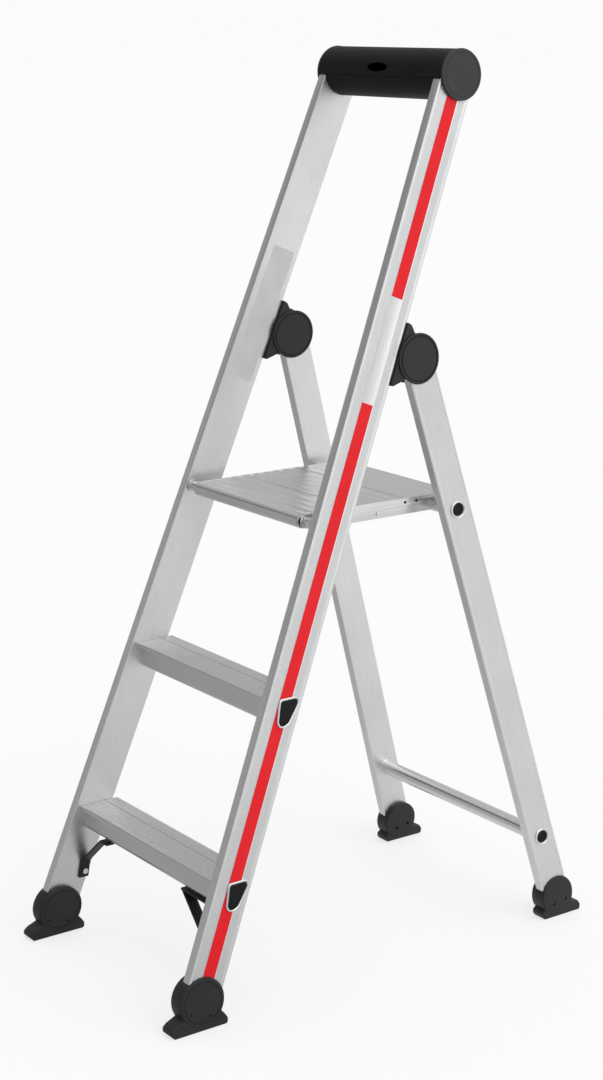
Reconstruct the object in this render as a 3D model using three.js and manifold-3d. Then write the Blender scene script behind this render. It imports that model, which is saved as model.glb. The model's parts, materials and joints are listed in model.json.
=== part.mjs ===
// Folding platform step-ladder: two treads, a hinged platform and a hand rail.
// Millimetres. +X is the climber's right, +Y points to the rear legs, +Z is up.
// The origin is the middle of the footprint, on the floor.
// Right-hand pieces are shaped first, and left-hand ones are their mirror images.

import * as THREE from 'three';
import { mergeVertices } from 'three/addons/utils/BufferGeometryUtils.js';
import Module from 'manifold-3d';

const wasm = await Module();
wasm.setup();

// ---------------------------------------------------------------- driving dimensions

const GAP = 0.3;                  // clearance wherever two pieces meet
const CIRCLE_STEPS = 28;          // sides of a full circle
const SMALL_RADIUS = 9;           // circles smaller than this have half as many

// Front stiles: box profiles that lean back and towards each other.
const STILE_LEAN = 21.45;         // degrees from vertical, towards the rear
const STILE_HALF_WIDTH = 211.9;   // outer face from the middle, at the floor
const STILE_NARROWING = 0.05257;  // inward travel of the stile per mm of height
const STILE_DEPTH = 60;
const STILE_THICKNESS = 16.4;
const STILE_WALL = 1.8;
const STILE_BOTTOM = 30;          // start of the profile, measured along it

// Rear legs: slimmer box profiles, hinged to the stiles.
const LEG_LEAN = 16.28;
const LEG_FOOT_Y = 697.2;         // centre line of the leg where it meets the floor
const LEG_HALF_WIDTH = 212.5;
const LEG_NARROWING = 0.05567;
const LEG_DEPTH = 49.2;
const LEG_THICKNESS = 16.4;
const LEG_WALL = 1.7;
const LEG_BOTTOM = 20;

// Steps, by the height of the surface that is stood on.
const FIRST_STEP = 202;
const STEP_RISE = 248.5;
const PLATFORM_TOP = FIRST_STEP + 2 * STEP_RISE;

// Treads, measured from the stile's centre line at the height of the tread.
const TREAD_FRONT = -26;
const TREAD_REAR = 43.5;
const TREAD_PLATE = 3.2;
const TREAD_LIP = 3.5;
const TREAD_FRONT_DROP = 6;
const TREAD_REAR_DROP = 8.5;
const TREAD_GROOVE = 17.5;
const WEB_DROP = 41.5;            // depth of the triangular web below the step
const WEB_WALL = 2.4;
const FLARE_WIDTH = 2.6;          // how far the flared rim stands round the web
const FLARE_HEIGHT = 1.9;
const PLUG_DEPTH = 7;
const PLUG_RECESS = 0.5;

// Hand rail.
const RAIL_Y = 513.7;
const RAIL_Z = 1303.2;
const RAIL_RADIUS = 36.4;
const RAIL_WALL = 3;
const RAIL_CAP_RADIUS = 36.6;
const RAIL_CAP_THICKNESS = 5.1;
const RAIL_STILE_END = 13.4;      // how far the stile runs past the rail's axis
const RAIL_SLOT_LENGTH = 48;
const RAIL_SLOT_HEIGHT = 13;
const RAIL_SLOT_MIDDLE = -3;      // slightly to the left
const RAIL_SLOT_RISE = 14;        // degrees above horizontal, as seen from the axis

// Hinge between stile and rear leg.
const HINGE_Y = 427;
const HINGE_Z = 908.3;
const HINGE_RADIUS = 37;
const HINGE_CHEEK_RADIUS = 34;
const HINGE_CHEEK = 2.4;
const HINGE_OUTER = 8.9;          // inner surface of the outer cheek, from the stile's middle
const HINGE_INNER = -10.7;        // inner surface of the inner cheek
const HINGE_COVER = 1.8;
const HINGE_PIN_RADIUS = 5;

// Platform and its pivots.
const PIVOT_Y = 251;
const PIVOT_Z = 688.3;
const BOARD_HALF_LENGTH = 132.7;
const BOARD_PLATE = 3;
const BOARD_DROP = 15;
const BOARD_SEAMS = [331, 427];
const PLATFORM_REAR = 521;
const NOSE_RADIUS = 10.5;
const NOSE_Y = 246.5;
const NOSE_REAR = 266;
const SIDE_PLATE_INNER = 133;
const SIDE_PLATE_OUTER = 136;
const SIDE_PLATE_BOTTOM = 674.3;
const SIDE_PLATE_FRONT_RADIUS = 10.4;
const BOLT_RADIUS = 4;
const BOLT_HEAD_RADIUS = 6.4;

// Rear cross tubes, by height of the axis.
const TUBE_HEIGHTS = { lower: 138.5, upper: 679.3 };
const TUBE_RADIUS = 12;
const TUBE_WALL = 1.6;
const TUBE_FLARE_RADIUS = 14;

// Feet. All four stand on the floor at height zero.
const FOOT_INNER = 187;           // inner face from the middle, at the floor
const FOOT_OUTER = 215.2;
const FRONT_FOOT_RADIUS = 36.8;
const FRONT_FOOT_HEIGHT = 42;     // height of the round part's centre
const FRONT_TOE = -36;
const REAR_FOOT_RADIUS = 32;
const REAR_FOOT_HEIGHT = 34;
const REAR_HEEL = 735;

// Braces under the first tread.
const BRACE_THICKNESS = 3;
const BRACE_WIDTH = 16;
const BRACES = {
  right: { screw: [52, 81], bendZ: 91, reach: 100, flange: 80, drift: 0.25 },
  left: { screw: [60, 95], bendZ: 112, reach: 48, flange: -20, drift: 0.14 },
};

const FOOTPRINT_MIDDLE = (FRONT_TOE + REAR_HEEL) / 2;

// ---------------------------------------------------------------- materials

const metal = (color, roughness) => new THREE.MeshStandardMaterial({ color, roughness, metalness: 1 });
const plastic = (color) => new THREE.MeshStandardMaterial({ color, roughness: 0.6, metalness: 0 });

const anodised = () => metal(0xc9cacb, 0.35);
const millFinish = () => metal(0xb9bbbd, 0.45);
const zinc = () => metal(0xd4d6d8, 0.3);
const blackPlastic = () => plastic(0x26262a);
const blackPaint = () => plastic(0x17171a);

// ---------------------------------------------------------------- solids

function toSolid(geometry) {
  const bare = geometry.clone();
  bare.deleteAttribute('normal');
  bare.deleteAttribute('uv');
  const merged = mergeVertices(bare, 1e-4);
  const vertProperties = new Float32Array(merged.attributes.position.array);
  const triVerts = new Uint32Array(merged.index.array);
  return new wasm.Manifold(new wasm.Mesh({ numProp: 3, vertProperties, triVerts }));
}

function toGeometry(solid) {
  const mesh = solid.getMesh();
  const geometry = new THREE.BufferGeometry();
  geometry.setAttribute('position', new THREE.BufferAttribute(new Float32Array(mesh.vertProperties), 3));
  geometry.setIndex(new THREE.BufferAttribute(new Uint32Array(mesh.triVerts), 1));
  geometry.computeVertexNormals();
  return geometry;
}

function mirrored(geometry) {
  const copy = geometry.clone();
  copy.scale(-1, 1, 1);
  const index = copy.index.array;
  for (let i = 0; i < index.length; i += 3) {
    const second = index[i + 1];
    index[i + 1] = index[i + 2];
    index[i + 2] = second;
  }
  copy.computeVertexNormals();
  return copy;
}

function mirroredSolid(solid) {
  return toSolid(mirrored(toGeometry(solid)));
}

// ---------------------------------------------------------------- outlines

// A shape through points; each point is [y, z] in the side view.
function outline(points) {
  return new THREE.Shape(points.map(([a, b]) => new THREE.Vector2(a, b)));
}

// Points on an arc, from one angle to another, in degrees.
function arc(centreA, centreB, radius, from, to) {
  const wholeCircle = radius < SMALL_RADIUS ? CIRCLE_STEPS / 2 : CIRCLE_STEPS;
  const steps = Math.max(2, Math.round((Math.abs(to - from) / 360) * wholeCircle));
  const points = [];
  for (let i = 0; i <= steps; i += 1) {
    const angle = THREE.MathUtils.degToRad(from + ((to - from) * i) / steps);
    points.push([centreA + radius * Math.cos(angle), centreB + radius * Math.sin(angle)]);
  }
  return points;
}

function circle(centreA, centreB, radius) {
  return outline(arc(centreA, centreB, radius, 0, 360).slice(0, -1));
}

// A convex anticlockwise outline moved outwards by a distance (inwards if negative).
function grown(points, distance) {
  const count = points.length;
  return points.map((point, i) => {
    const before = points[(i + count - 1) % count];
    const after = points[(i + 1) % count];
    const inward = new THREE.Vector2(point[0] - before[0], point[1] - before[1]).normalize();
    const outward = new THREE.Vector2(after[0] - point[0], after[1] - point[1]).normalize();
    const normalIn = new THREE.Vector2(inward.y, -inward.x);
    const normalOut = new THREE.Vector2(outward.y, -outward.x);
    const middle = normalIn.clone().add(normalOut).normalize();
    const reach = distance / middle.dot(normalIn);
    return [point[0] + middle.x * reach, point[1] + middle.y * reach];
  });
}

// A bent strip of even thickness along a path of points.
function strip(path, thickness) {
  const left = [];
  const right = [];
  path.forEach((point, i) => {
    const before = path[Math.max(i - 1, 0)];
    const after = path[Math.min(i + 1, path.length - 1)];
    const arriving = new THREE.Vector2(point[0] - before[0], point[1] - before[1]);
    const leaving = new THREE.Vector2(after[0] - point[0], after[1] - point[1]);
    if (i === 0) arriving.copy(leaving);
    if (i === path.length - 1) leaving.copy(arriving);
    arriving.normalize();
    leaving.normalize();
    const normal = new THREE.Vector2(-arriving.y - leaving.y, arriving.x + leaving.x).normalize();
    const reach = thickness / 2 / Math.max(0.35, normal.dot(new THREE.Vector2(-arriving.y, arriving.x)));
    left.push([point[0] + normal.x * reach, point[1] + normal.y * reach]);
    right.push([point[0] - normal.x * reach, point[1] - normal.y * reach]);
  });
  return outline([...left, ...right.reverse()]);
}

// ---------------------------------------------------------------- frames

// A side-view shape (y, z) pushed along X between two planes.
function alongX(shape, from, to) {
  const geometry = new THREE.ExtrudeGeometry(shape, { depth: to - from, bevelEnabled: false });
  const turn = new THREE.Matrix4().makeBasis(
    new THREE.Vector3(0, 1, 0),
    new THREE.Vector3(0, 0, 1),
    new THREE.Vector3(1, 0, 0),
  );
  geometry.applyMatrix4(turn);
  geometry.translate(from, 0, 0);
  return geometry;
}

const prism = (shape, from, to) => toSolid(alongX(shape, from, to));

// The frame of a leaning profile: local x across its thickness, y across its
// depth (towards the rear), z along it. Its origin is on the floor.
function profileFrame(halfWidth, thickness, narrowing, footY, leanToRear) {
  const along = new THREE.Vector3(-narrowing, Math.tan(leanToRear), 1).normalize();
  const across = new THREE.Vector3(0, Math.cos(leanToRear), -Math.sin(leanToRear));
  const outward = new THREE.Vector3().crossVectors(across, along).normalize();
  const matrix = new THREE.Matrix4().makeBasis(outward, across, along);
  matrix.setPosition(halfWidth - thickness / 2, footY, 0);
  return matrix;
}

// Where a side-view point (y, z) lies across and along a leaning profile.
function inProfile(frame, y, z) {
  const elements = frame.elements;
  const slope = elements[9] / elements[10];
  const tilt = Math.atan(slope);
  const across = (y - elements[13] - z * slope) * Math.cos(tilt);
  const along = (z + across * Math.sin(tilt)) / elements[10];
  return { across, along };
}

function inFrame(frame, geometry) {
  geometry.applyMatrix4(frame);
  return toSolid(geometry);
}

const framePrism = (frame, shape, from, to) => inFrame(frame, alongX(shape, from, to));

function frameBox(frame, low, high) {
  const geometry = new THREE.BoxGeometry(high[0] - low[0], high[1] - low[1], high[2] - low[2]);
  geometry.translate((high[0] + low[0]) / 2, (high[1] + low[1]) / 2, (high[2] + low[2]) / 2);
  return inFrame(frame, geometry);
}

const stileLean = THREE.MathUtils.degToRad(STILE_LEAN);
const legLean = THREE.MathUtils.degToRad(LEG_LEAN);
const stileFrame = profileFrame(STILE_HALF_WIDTH, STILE_THICKNESS, STILE_NARROWING, 0, stileLean);
const legFrame = profileFrame(LEG_HALF_WIDTH, LEG_THICKNESS, LEG_NARROWING, LEG_FOOT_Y, -legLean);

const stileFace = STILE_THICKNESS / 2;
const legFace = LEG_THICKNESS / 2;
const FAR = 400;

// Everything on the outside of a plane parallel to a profile's faces.
const outsideOf = (frame, offset) => frameBox(frame, [offset, -FAR, -FAR], [FAR, FAR, 4 * FAR]);
// A slice between two such planes.
const sliceOf = (frame, from, to) => frameBox(frame, [from, -FAR, -FAR], [to, FAR, 4 * FAR]);
// The same on both sides of the ladder.
const bothSides = (solid) => solid.add(mirroredSolid(solid));

// ---------------------------------------------------------------- assembly

const ladder = new THREE.Group();
const frontFrame = new THREE.Group();
const rearFrame = new THREE.Group();
const platform = new THREE.Group();
rearFrame.position.set(0, HINGE_Y, HINGE_Z);
platform.position.set(0, PIVOT_Y, PIVOT_Z);
ladder.add(frontFrame, rearFrame, platform);
ladder.position.set(0, -FOOTPRINT_MIDDLE, 0);

function addPiece(group, name, solid, material) {
  const geometry = toGeometry(solid);
  geometry.translate(-group.position.x, -group.position.y, -group.position.z);
  const mesh = new THREE.Mesh(geometry, material);
  mesh.name = name;
  group.add(mesh);
}

function addPair(group, name, solid, makeMaterial) {
  addPiece(group, `${name}_right`, solid, makeMaterial());
  addPiece(group, `${name}_left`, mirroredSolid(solid), makeMaterial());
}

// ---------------------------------------------------------------- treads

const treads = [
  { name: 'lower', top: FIRST_STEP },
  { name: 'upper', top: FIRST_STEP + STEP_RISE },
].map((tread) => ({ ...tread, centre: tread.top * Math.tan(stileLean) }));

// The triangular web under a tread, anticlockwise in the side view.
function webOutline({ centre, top }) {
  return [
    [centre - 17, top - 33],
    [centre - 14, top - 39],
    [centre - 7, top - WEB_DROP],
    [centre + 2.5, top - 38.5],
    [centre + 22, top - 10],
    [centre + 20.5, top - 2.5],
    [centre + 15.5, top - 0.4],
    [centre - 9, top - 0.4],
    [centre - 12, top - 4],
  ];
}

function treadPlate({ centre, top }) {
  const under = top - TREAD_PLATE;
  const front = centre + TREAD_FRONT;
  const rear = centre + TREAD_REAR;
  const groove = centre + TREAD_GROOVE;
  return outline([
    [front + TREAD_LIP, top - TREAD_FRONT_DROP],
    [front + TREAD_LIP, under],
    [rear - 9, under],
    [rear - TREAD_LIP, top - 6.8],
    [rear - TREAD_LIP, top - TREAD_REAR_DROP],
    [rear, top - TREAD_REAR_DROP],
    [rear, top - 5],
    [rear - 2, top - 1.6],
    [rear - 7, top],
    [groove + 1.6, top],
    [groove + 0.8, top - 1.2],
    [groove - 0.8, top - 1.2],
    [groove - 1.6, top],
    [front + 2, top],
    [front, top - 2],
    [front, top - TREAD_FRONT_DROP],
  ]);
}

const stileSides = bothSides(outsideOf(stileFrame, -stileFace - GAP));
const stileOutsides = bothSides(outsideOf(stileFrame, stileFace + GAP + FLARE_HEIGHT));
const outerFlareSlices = bothSides(sliceOf(stileFrame, stileFace + GAP, stileFace + GAP + FLARE_HEIGHT));
const innerFlareSlices = bothSides(sliceOf(stileFrame, -stileFace - GAP - FLARE_HEIGHT, -stileFace - GAP));
const WEB_REACH = STILE_HALF_WIDTH + 10;

for (const tread of treads) {
  const web = webOutline(tread);
  const hollow = prism(outline(grown(web, -WEB_WALL)), -WEB_REACH - 1, WEB_REACH + 1);
  const rim = prism(outline(grown(web, FLARE_WIDTH)), -WEB_REACH, WEB_REACH);
  const plate = prism(treadPlate(tread), -WEB_REACH, WEB_REACH).subtract(stileSides);
  const tube = prism(outline(web), -WEB_REACH, WEB_REACH)
    .subtract(stileOutsides)
    .add(rim.intersect(outerFlareSlices))
    .add(rim.intersect(innerFlareSlices).subtract(prism(treadPlate(tread), -WEB_REACH, WEB_REACH)))
    .subtract(hollow);
  addPiece(frontFrame, `tread_${tread.name}`, plate.add(tube), millFinish());

  const plugFace = stileFace + GAP + FLARE_HEIGHT - PLUG_RECESS;
  const plug = prism(outline(grown(web, -WEB_WALL - GAP)), 0, WEB_REACH)
    .intersect(sliceOf(stileFrame, plugFace - PLUG_DEPTH, plugFace));
  addPair(frontFrame, `tread_plug_${tread.name}`, plug, blackPlastic);
}

// ---------------------------------------------------------------- front stiles

const rail = inProfile(stileFrame, RAIL_Y, RAIL_Z);
const stileTop = rail.along + RAIL_STILE_END;
const halfDepth = STILE_DEPTH / 2;

function stileBlock(clearance) {
  return frameBox(
    stileFrame,
    [-stileFace - clearance, -halfDepth - clearance, STILE_BOTTOM - clearance],
    [stileFace + clearance, halfDepth + clearance, stileTop + clearance],
  );
}

const SCREW_RADIUS = 2;

function frontStile() {
  const inside = frameBox(
    stileFrame,
    [-stileFace + STILE_WALL, -halfDepth + STILE_WALL, 0],
    [stileFace - STILE_WALL, halfDepth - STILE_WALL, stileTop + 10],
  );
  let stile = stileBlock(0).subtract(inside);
  for (const tread of treads) {
    stile = stile.subtract(prism(outline(grown(webOutline(tread), GAP)), 100, WEB_REACH));
  }
  const boltHole = prism(circle(PIVOT_Y, PIVOT_Z, BOLT_RADIUS + GAP), 100, 170);
  return stile.subtract(boltHole);
}

const screwHole = ([y, z]) => prism(circle(y, z, SCREW_RADIUS + GAP), 150, 210);
const plainStile = frontStile();
const rightStile = plainStile.subtract(screwHole(BRACES.right.screw));
const leftStile = plainStile.subtract(screwHole(BRACES.left.screw));
addPiece(frontFrame, 'front_stile_right', rightStile, anodised());
addPiece(frontFrame, 'front_stile_left', mirroredSolid(leftStile), anodised());

// ---------------------------------------------------------------- hand rail

function railShell(from, to) {
  const band = outline([
    ...arc(RAIL_Y, RAIL_Z, RAIL_RADIUS, from, to),
    ...arc(RAIL_Y, RAIL_Z, RAIL_RADIUS - RAIL_WALL, to, from),
  ]);
  return prism(band, -STILE_HALF_WIDTH, STILE_HALF_WIDTH)
    .subtract(bothSides(outsideOf(stileFrame, stileFace)))
    .subtract(bothSides(stileBlock(GAP)));
}

// An oval hole through the front of the upper shell.
function railSlot() {
  const oval = outline(arc(0, 0, 1, 0, 360).slice(0, -1).map(([a, b]) => [
    (a * RAIL_SLOT_LENGTH) / 2,
    (b * RAIL_SLOT_HEIGHT) / 2,
  ]));
  const geometry = new THREE.ExtrudeGeometry(oval, { depth: RAIL_RADIUS + 5, bevelEnabled: false });
  geometry.rotateX(Math.PI / 2 - THREE.MathUtils.degToRad(RAIL_SLOT_RISE));
  geometry.translate(RAIL_SLOT_MIDDLE, RAIL_Y, RAIL_Z);
  return toSolid(geometry);
}

const PARTING = 0.25;             // half the gap between the shells, in degrees
const upperShell = railShell(PARTING, 180 - PARTING).subtract(railSlot());
const lowerShell = railShell(180 + PARTING, 360 - PARTING);
addPiece(frontFrame, 'handle_top_shell', upperShell, blackPlastic());
addPiece(frontFrame, 'handle_bottom_shell', lowerShell, blackPlastic());

const railCap = framePrism(
  stileFrame,
  circle(rail.across, rail.along, RAIL_CAP_RADIUS),
  stileFace + GAP,
  stileFace + GAP + RAIL_CAP_THICKNESS,
);
addPair(frontFrame, 'handle_end_cap', railCap, blackPlastic);

// ---------------------------------------------------------------- hinges

const hinge = inProfile(stileFrame, HINGE_Y, HINGE_Z);
const hingeMiddleX = new THREE.Vector3(0, hinge.across, hinge.along).applyMatrix4(stileFrame).x;
const earBack = -hinge.across + halfDepth + GAP;

const aroundHinge = (points) => points.map(([a, b]) => [hinge.across + a, hinge.along + b]);

// Pointed ears that carry the cheeks on the stile's rear edge.
const cheekEars = outline(aroundHinge([
  [earBack, -50.5],
  [-31, -50],
  [-26, -46],
  [-10, -32],
  [0, 0],
  [-16, 29],
  [-22, 36],
  [-28, 41.5],
  [earBack, 43],
]));
const bridge = outline(aroundHinge([
  [earBack, -50.5],
  [-31, -50],
  [-22.5, -40],
  [-22.5, 36],
  [-28, 41.5],
  [earBack, 43],
]));

function hingeCheek(from) {
  const disc = framePrism(
    stileFrame,
    circle(hinge.across, hinge.along, HINGE_CHEEK_RADIUS),
    from,
    from + HINGE_CHEEK,
  );
  const ears = framePrism(stileFrame, cheekEars, from, from + HINGE_CHEEK);
  return disc.add(ears).subtract(stileBlock(GAP));
}

const hingeBore = prism(circle(HINGE_Y, HINGE_Z, HINGE_PIN_RADIUS + GAP), 100, 200);
const hingeHousing = hingeCheek(HINGE_OUTER)
  .add(hingeCheek(HINGE_INNER - HINGE_CHEEK))
  .add(framePrism(stileFrame, bridge, HINGE_INNER - 0.5, HINGE_OUTER + 0.5))
  .subtract(hingeBore);
addPair(frontFrame, 'hinge_housing', hingeHousing, blackPlastic);

const hingePin = prism(circle(HINGE_Y, HINGE_Z, HINGE_PIN_RADIUS), 100, 200)
  .intersect(sliceOf(stileFrame, HINGE_INNER - HINGE_CHEEK, HINGE_OUTER + HINGE_CHEEK));
addPair(frontFrame, 'hinge_pin', hingePin, zinc);

const coverShape = circle(hinge.across, hinge.along, HINGE_RADIUS);
const outerCoverFrom = HINGE_OUTER + HINGE_CHEEK + GAP;
const innerCoverTo = HINGE_INNER - HINGE_CHEEK - GAP;
const outerCover = framePrism(stileFrame, coverShape, outerCoverFrom, outerCoverFrom + HINGE_COVER);
const innerCover = framePrism(stileFrame, coverShape, innerCoverTo - HINGE_COVER, innerCoverTo);
addPair(frontFrame, 'hinge_cover_outer', outerCover, blackPlastic);
addPair(frontFrame, 'hinge_cover_inner', innerCover, blackPlastic);

// ---------------------------------------------------------------- feet

// A foot's side view: a round body that merges into a flat sole.
function footOutline({ centreY, centreZ, radius, toe, soleFront, soleRear, heel }) {
  return outline([
    [soleFront, 0],
    [soleRear, 0],
    [heel, 4],
    [heel, 9],
    [heel - 4, 16],
    ...arc(centreY, centreZ, radius, -32, 212),
    [toe + 6, 16],
    [toe, 11],
    [toe, 6],
  ]);
}

// Feet lean inwards with the profile that they are pushed onto.
function foot(shape, narrowing, profile) {
  const geometry = alongX(shape, FOOT_INNER, FOOT_OUTER);
  const lean = new THREE.Matrix4().set(
    1, 0, -narrowing, 0,
    0, 1, 0, 0,
    0, 0, 1, 0,
    0, 0, 0, 1,
  );
  geometry.applyMatrix4(lean);
  return toSolid(geometry).subtract(profile);
}

const frontFoot = footOutline({
  centreY: FRONT_FOOT_HEIGHT * Math.tan(stileLean),
  centreZ: FRONT_FOOT_HEIGHT,
  radius: FRONT_FOOT_RADIUS,
  toe: FRONT_TOE,
  soleFront: FRONT_TOE + 5,
  soleRear: 56,
  heel: 58,
});
addPair(frontFrame, 'front_foot', foot(frontFoot, STILE_NARROWING, stileBlock(GAP)), blackPlastic);

// ---------------------------------------------------------------- braces

// Bent strips from the inner faces of the stiles to the underside of the first tread.
// The right one starts lower and reaches further in, and its flange turns back to the stile.
const braceFaceOffset = GAP + 0.1 + BRACE_THICKNESS / 2;
const braceTop = FIRST_STEP - WEB_DROP - GAP - BRACE_THICKNESS / 2;

function stileInnerX(y, z) {
  const place = inProfile(stileFrame, y, z);
  return new THREE.Vector3(-stileFace, place.across, place.along).applyMatrix4(stileFrame).x;
}

// A flat strip in the (x, z) plane, as wide as a brace, that drifts to the rear as it rises:
// drift is its rearward travel per mm of height.
function braceStrip(path, [screwY, screwZ], drift) {
  const geometry = new THREE.ExtrudeGeometry(strip(path, BRACE_THICKNESS), {
    depth: BRACE_WIDTH,
    bevelEnabled: false,
  });
  geometry.rotateX(Math.PI / 2);
  geometry.translate(0, screwY + BRACE_WIDTH / 2, 0);
  const rearward = new THREE.Matrix4().set(
    1, 0, 0, 0,
    0, 1, drift, -drift * screwZ,
    0, 0, 1, 0,
    0, 0, 0, 1,
  );
  geometry.applyMatrix4(rearward);
  return toSolid(geometry);
}

function brace({ screw, bendZ, reach, flange, drift }) {
  const tabLow = screw[1] - 10;
  const faceX = (z) => stileInnerX(screw[0] + BRACE_WIDTH / 2, z) - braceFaceOffset;
  const kneeX = faceX(bendZ) - reach;
  const sloping = braceStrip([
    [faceX(tabLow), tabLow],
    [faceX(bendZ), bendZ],
    [kneeX, braceTop],
    [kneeX - BRACE_THICKNESS, braceTop],
  ], screw, drift);
  const [low, high] = flange > 0 ? [kneeX - BRACE_THICKNESS, kneeX + flange] : [kneeX + flange, kneeX];
  return sloping
    .add(braceStrip([[low, braceTop], [high, braceTop]], screw, drift))
    .subtract(screwHole(screw));
}

addPiece(frontFrame, 'brace_right', brace(BRACES.right), blackPaint());
addPiece(frontFrame, 'brace_left', mirroredSolid(brace(BRACES.left)), blackPaint());

function braceScrew([y, z]) {
  const headX = stileInnerX(y + BRACE_WIDTH / 2, z) - 2 * GAP - BRACE_THICKNESS - 0.4;
  return prism(circle(y, z, SCREW_RADIUS), headX - 1, headX + 12)
    .add(prism(circle(y, z, 4.6), headX - 2.4, headX));
}

addPiece(frontFrame, 'brace_screw_right', braceScrew(BRACES.right.screw), zinc());
addPiece(frontFrame, 'brace_screw_left', mirroredSolid(braceScrew(BRACES.left.screw)), zinc());

// ---------------------------------------------------------------- rear frame

const legHinge = inProfile(legFrame, HINGE_Y, HINGE_Z);
const legHalfDepth = LEG_DEPTH / 2;
const legTop = legHinge.along + legHalfDepth;

function legBlock(clearance) {
  return frameBox(
    legFrame,
    [-legFace - clearance, -legHalfDepth - clearance, LEG_BOTTOM - clearance],
    [legFace + clearance, legHalfDepth + clearance, legTop + clearance],
  );
}

function tubeAt(height, radius, from, to) {
  return prism(circle(LEG_FOOT_Y - height * Math.tan(legLean), height, radius), from, to);
}

const LEG_REACH = LEG_HALF_WIDTH + 10;

function rearLeg() {
  const inside = frameBox(
    legFrame,
    [-legFace + LEG_WALL, -legHalfDepth + LEG_WALL, 0],
    [legFace - LEG_WALL, legHalfDepth - LEG_WALL, legTop + 10],
  );
  const keptBelow = frameBox(legFrame, [-FAR, -FAR, 0], [FAR, FAR, legHinge.along]);
  const roundEnd = framePrism(legFrame, circle(0, legHinge.along, legHalfDepth), -FAR, FAR);
  let leg = legBlock(0).subtract(inside).intersect(keptBelow.add(roundEnd)).subtract(hingeBore);
  for (const height of Object.values(TUBE_HEIGHTS)) {
    leg = leg.subtract(tubeAt(height, TUBE_RADIUS + GAP, 100, LEG_REACH));
  }
  return leg;
}

addPair(rearFrame, 'rear_leg', rearLeg(), anodised);

const legOutsides = bothSides(outsideOf(legFrame, legFace + GAP + FLARE_HEIGHT));
const legFlareSlices = bothSides(sliceOf(legFrame, legFace + GAP, legFace + GAP + FLARE_HEIGHT)
  .add(sliceOf(legFrame, -legFace - GAP - FLARE_HEIGHT, -legFace - GAP)));

for (const [name, height] of Object.entries(TUBE_HEIGHTS)) {
  const tube = tubeAt(height, TUBE_RADIUS, -LEG_REACH, LEG_REACH)
    .subtract(legOutsides)
    .add(tubeAt(height, TUBE_FLARE_RADIUS, -LEG_REACH, LEG_REACH).intersect(legFlareSlices))
    .subtract(tubeAt(height, TUBE_RADIUS - TUBE_WALL, -LEG_REACH - 1, LEG_REACH + 1));
  addPiece(rearFrame, `rear_tube_${name}`, tube, anodised());

  const plugFace = legFace + GAP + FLARE_HEIGHT - PLUG_RECESS;
  const plug = tubeAt(height, TUBE_RADIUS - TUBE_WALL - GAP, 100, LEG_REACH)
    .intersect(sliceOf(legFrame, plugFace - PLUG_DEPTH, plugFace));
  addPair(rearFrame, `tube_plug_${name}`, plug, blackPlastic);
}

const rearFoot = footOutline({
  centreY: LEG_FOOT_Y - REAR_FOOT_HEIGHT * Math.tan(legLean),
  centreZ: REAR_FOOT_HEIGHT,
  radius: REAR_FOOT_RADIUS,
  toe: 657,
  soleFront: 661,
  soleRear: 733,
  heel: REAR_HEEL,
});
addPair(rearFrame, 'rear_foot', foot(rearFoot, LEG_NARROWING, legBlock(GAP)), blackPlastic);

// ---------------------------------------------------------------- platform

const underside = PLATFORM_TOP - BOARD_PLATE;

function frontBoard() {
  const noseZ = PLATFORM_TOP - NOSE_RADIUS;
  const rear = BOARD_SEAMS[0] - GAP;
  const body = outline([
    [NOSE_REAR, PLATFORM_TOP - 2 * NOSE_RADIUS],
    [NOSE_REAR, underside],
    [rear - BOARD_PLATE, underside],
    [rear - BOARD_PLATE, PLATFORM_TOP - BOARD_DROP],
    [rear, PLATFORM_TOP - BOARD_DROP],
    [rear, PLATFORM_TOP],
    ...arc(NOSE_Y, noseZ, NOSE_RADIUS, 90, 270),
  ]);
  const hollow = outline([
    [NOSE_REAR - BOARD_PLATE, noseZ - NOSE_RADIUS + BOARD_PLATE],
    [NOSE_REAR - BOARD_PLATE, noseZ + NOSE_RADIUS - BOARD_PLATE],
    ...arc(NOSE_Y, noseZ, NOSE_RADIUS - BOARD_PLATE, 90, 270),
  ]);
  body.holes.push(hollow);
  return prism(body, -BOARD_HALF_LENGTH, BOARD_HALF_LENGTH);
}

function channelBoard(front, rear) {
  const bottom = PLATFORM_TOP - BOARD_DROP;
  return prism(outline([
    [front, bottom],
    [front + BOARD_PLATE, bottom],
    [front + BOARD_PLATE, underside],
    [rear - BOARD_PLATE, underside],
    [rear - BOARD_PLATE, bottom],
    [rear, bottom],
    [rear, PLATFORM_TOP],
    [front, PLATFORM_TOP],
  ]), -BOARD_HALF_LENGTH, BOARD_HALF_LENGTH);
}

addPiece(platform, 'platform_front_board', frontBoard(), millFinish());
addPiece(platform, 'platform_middle_board', channelBoard(BOARD_SEAMS[0], BOARD_SEAMS[1] - GAP), millFinish());
addPiece(platform, 'platform_rear_board', channelBoard(BOARD_SEAMS[1], PLATFORM_REAR), millFinish());

// The side plate hooks over the upper cross tube from above and behind.
const upperTubeY = LEG_FOOT_Y - TUBE_HEIGHTS.upper * Math.tan(legLean);
const saddleRadius = TUBE_RADIUS + 0.5;
const sideRivets = [
  { y: 381, z: 681, head: 4.4, tail: 1.6 },
  { y: 430, z: 692.2, head: 2.6, tail: 0 },
  { y: 451, z: 692.2, head: 2.6, tail: 0 },
];

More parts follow.
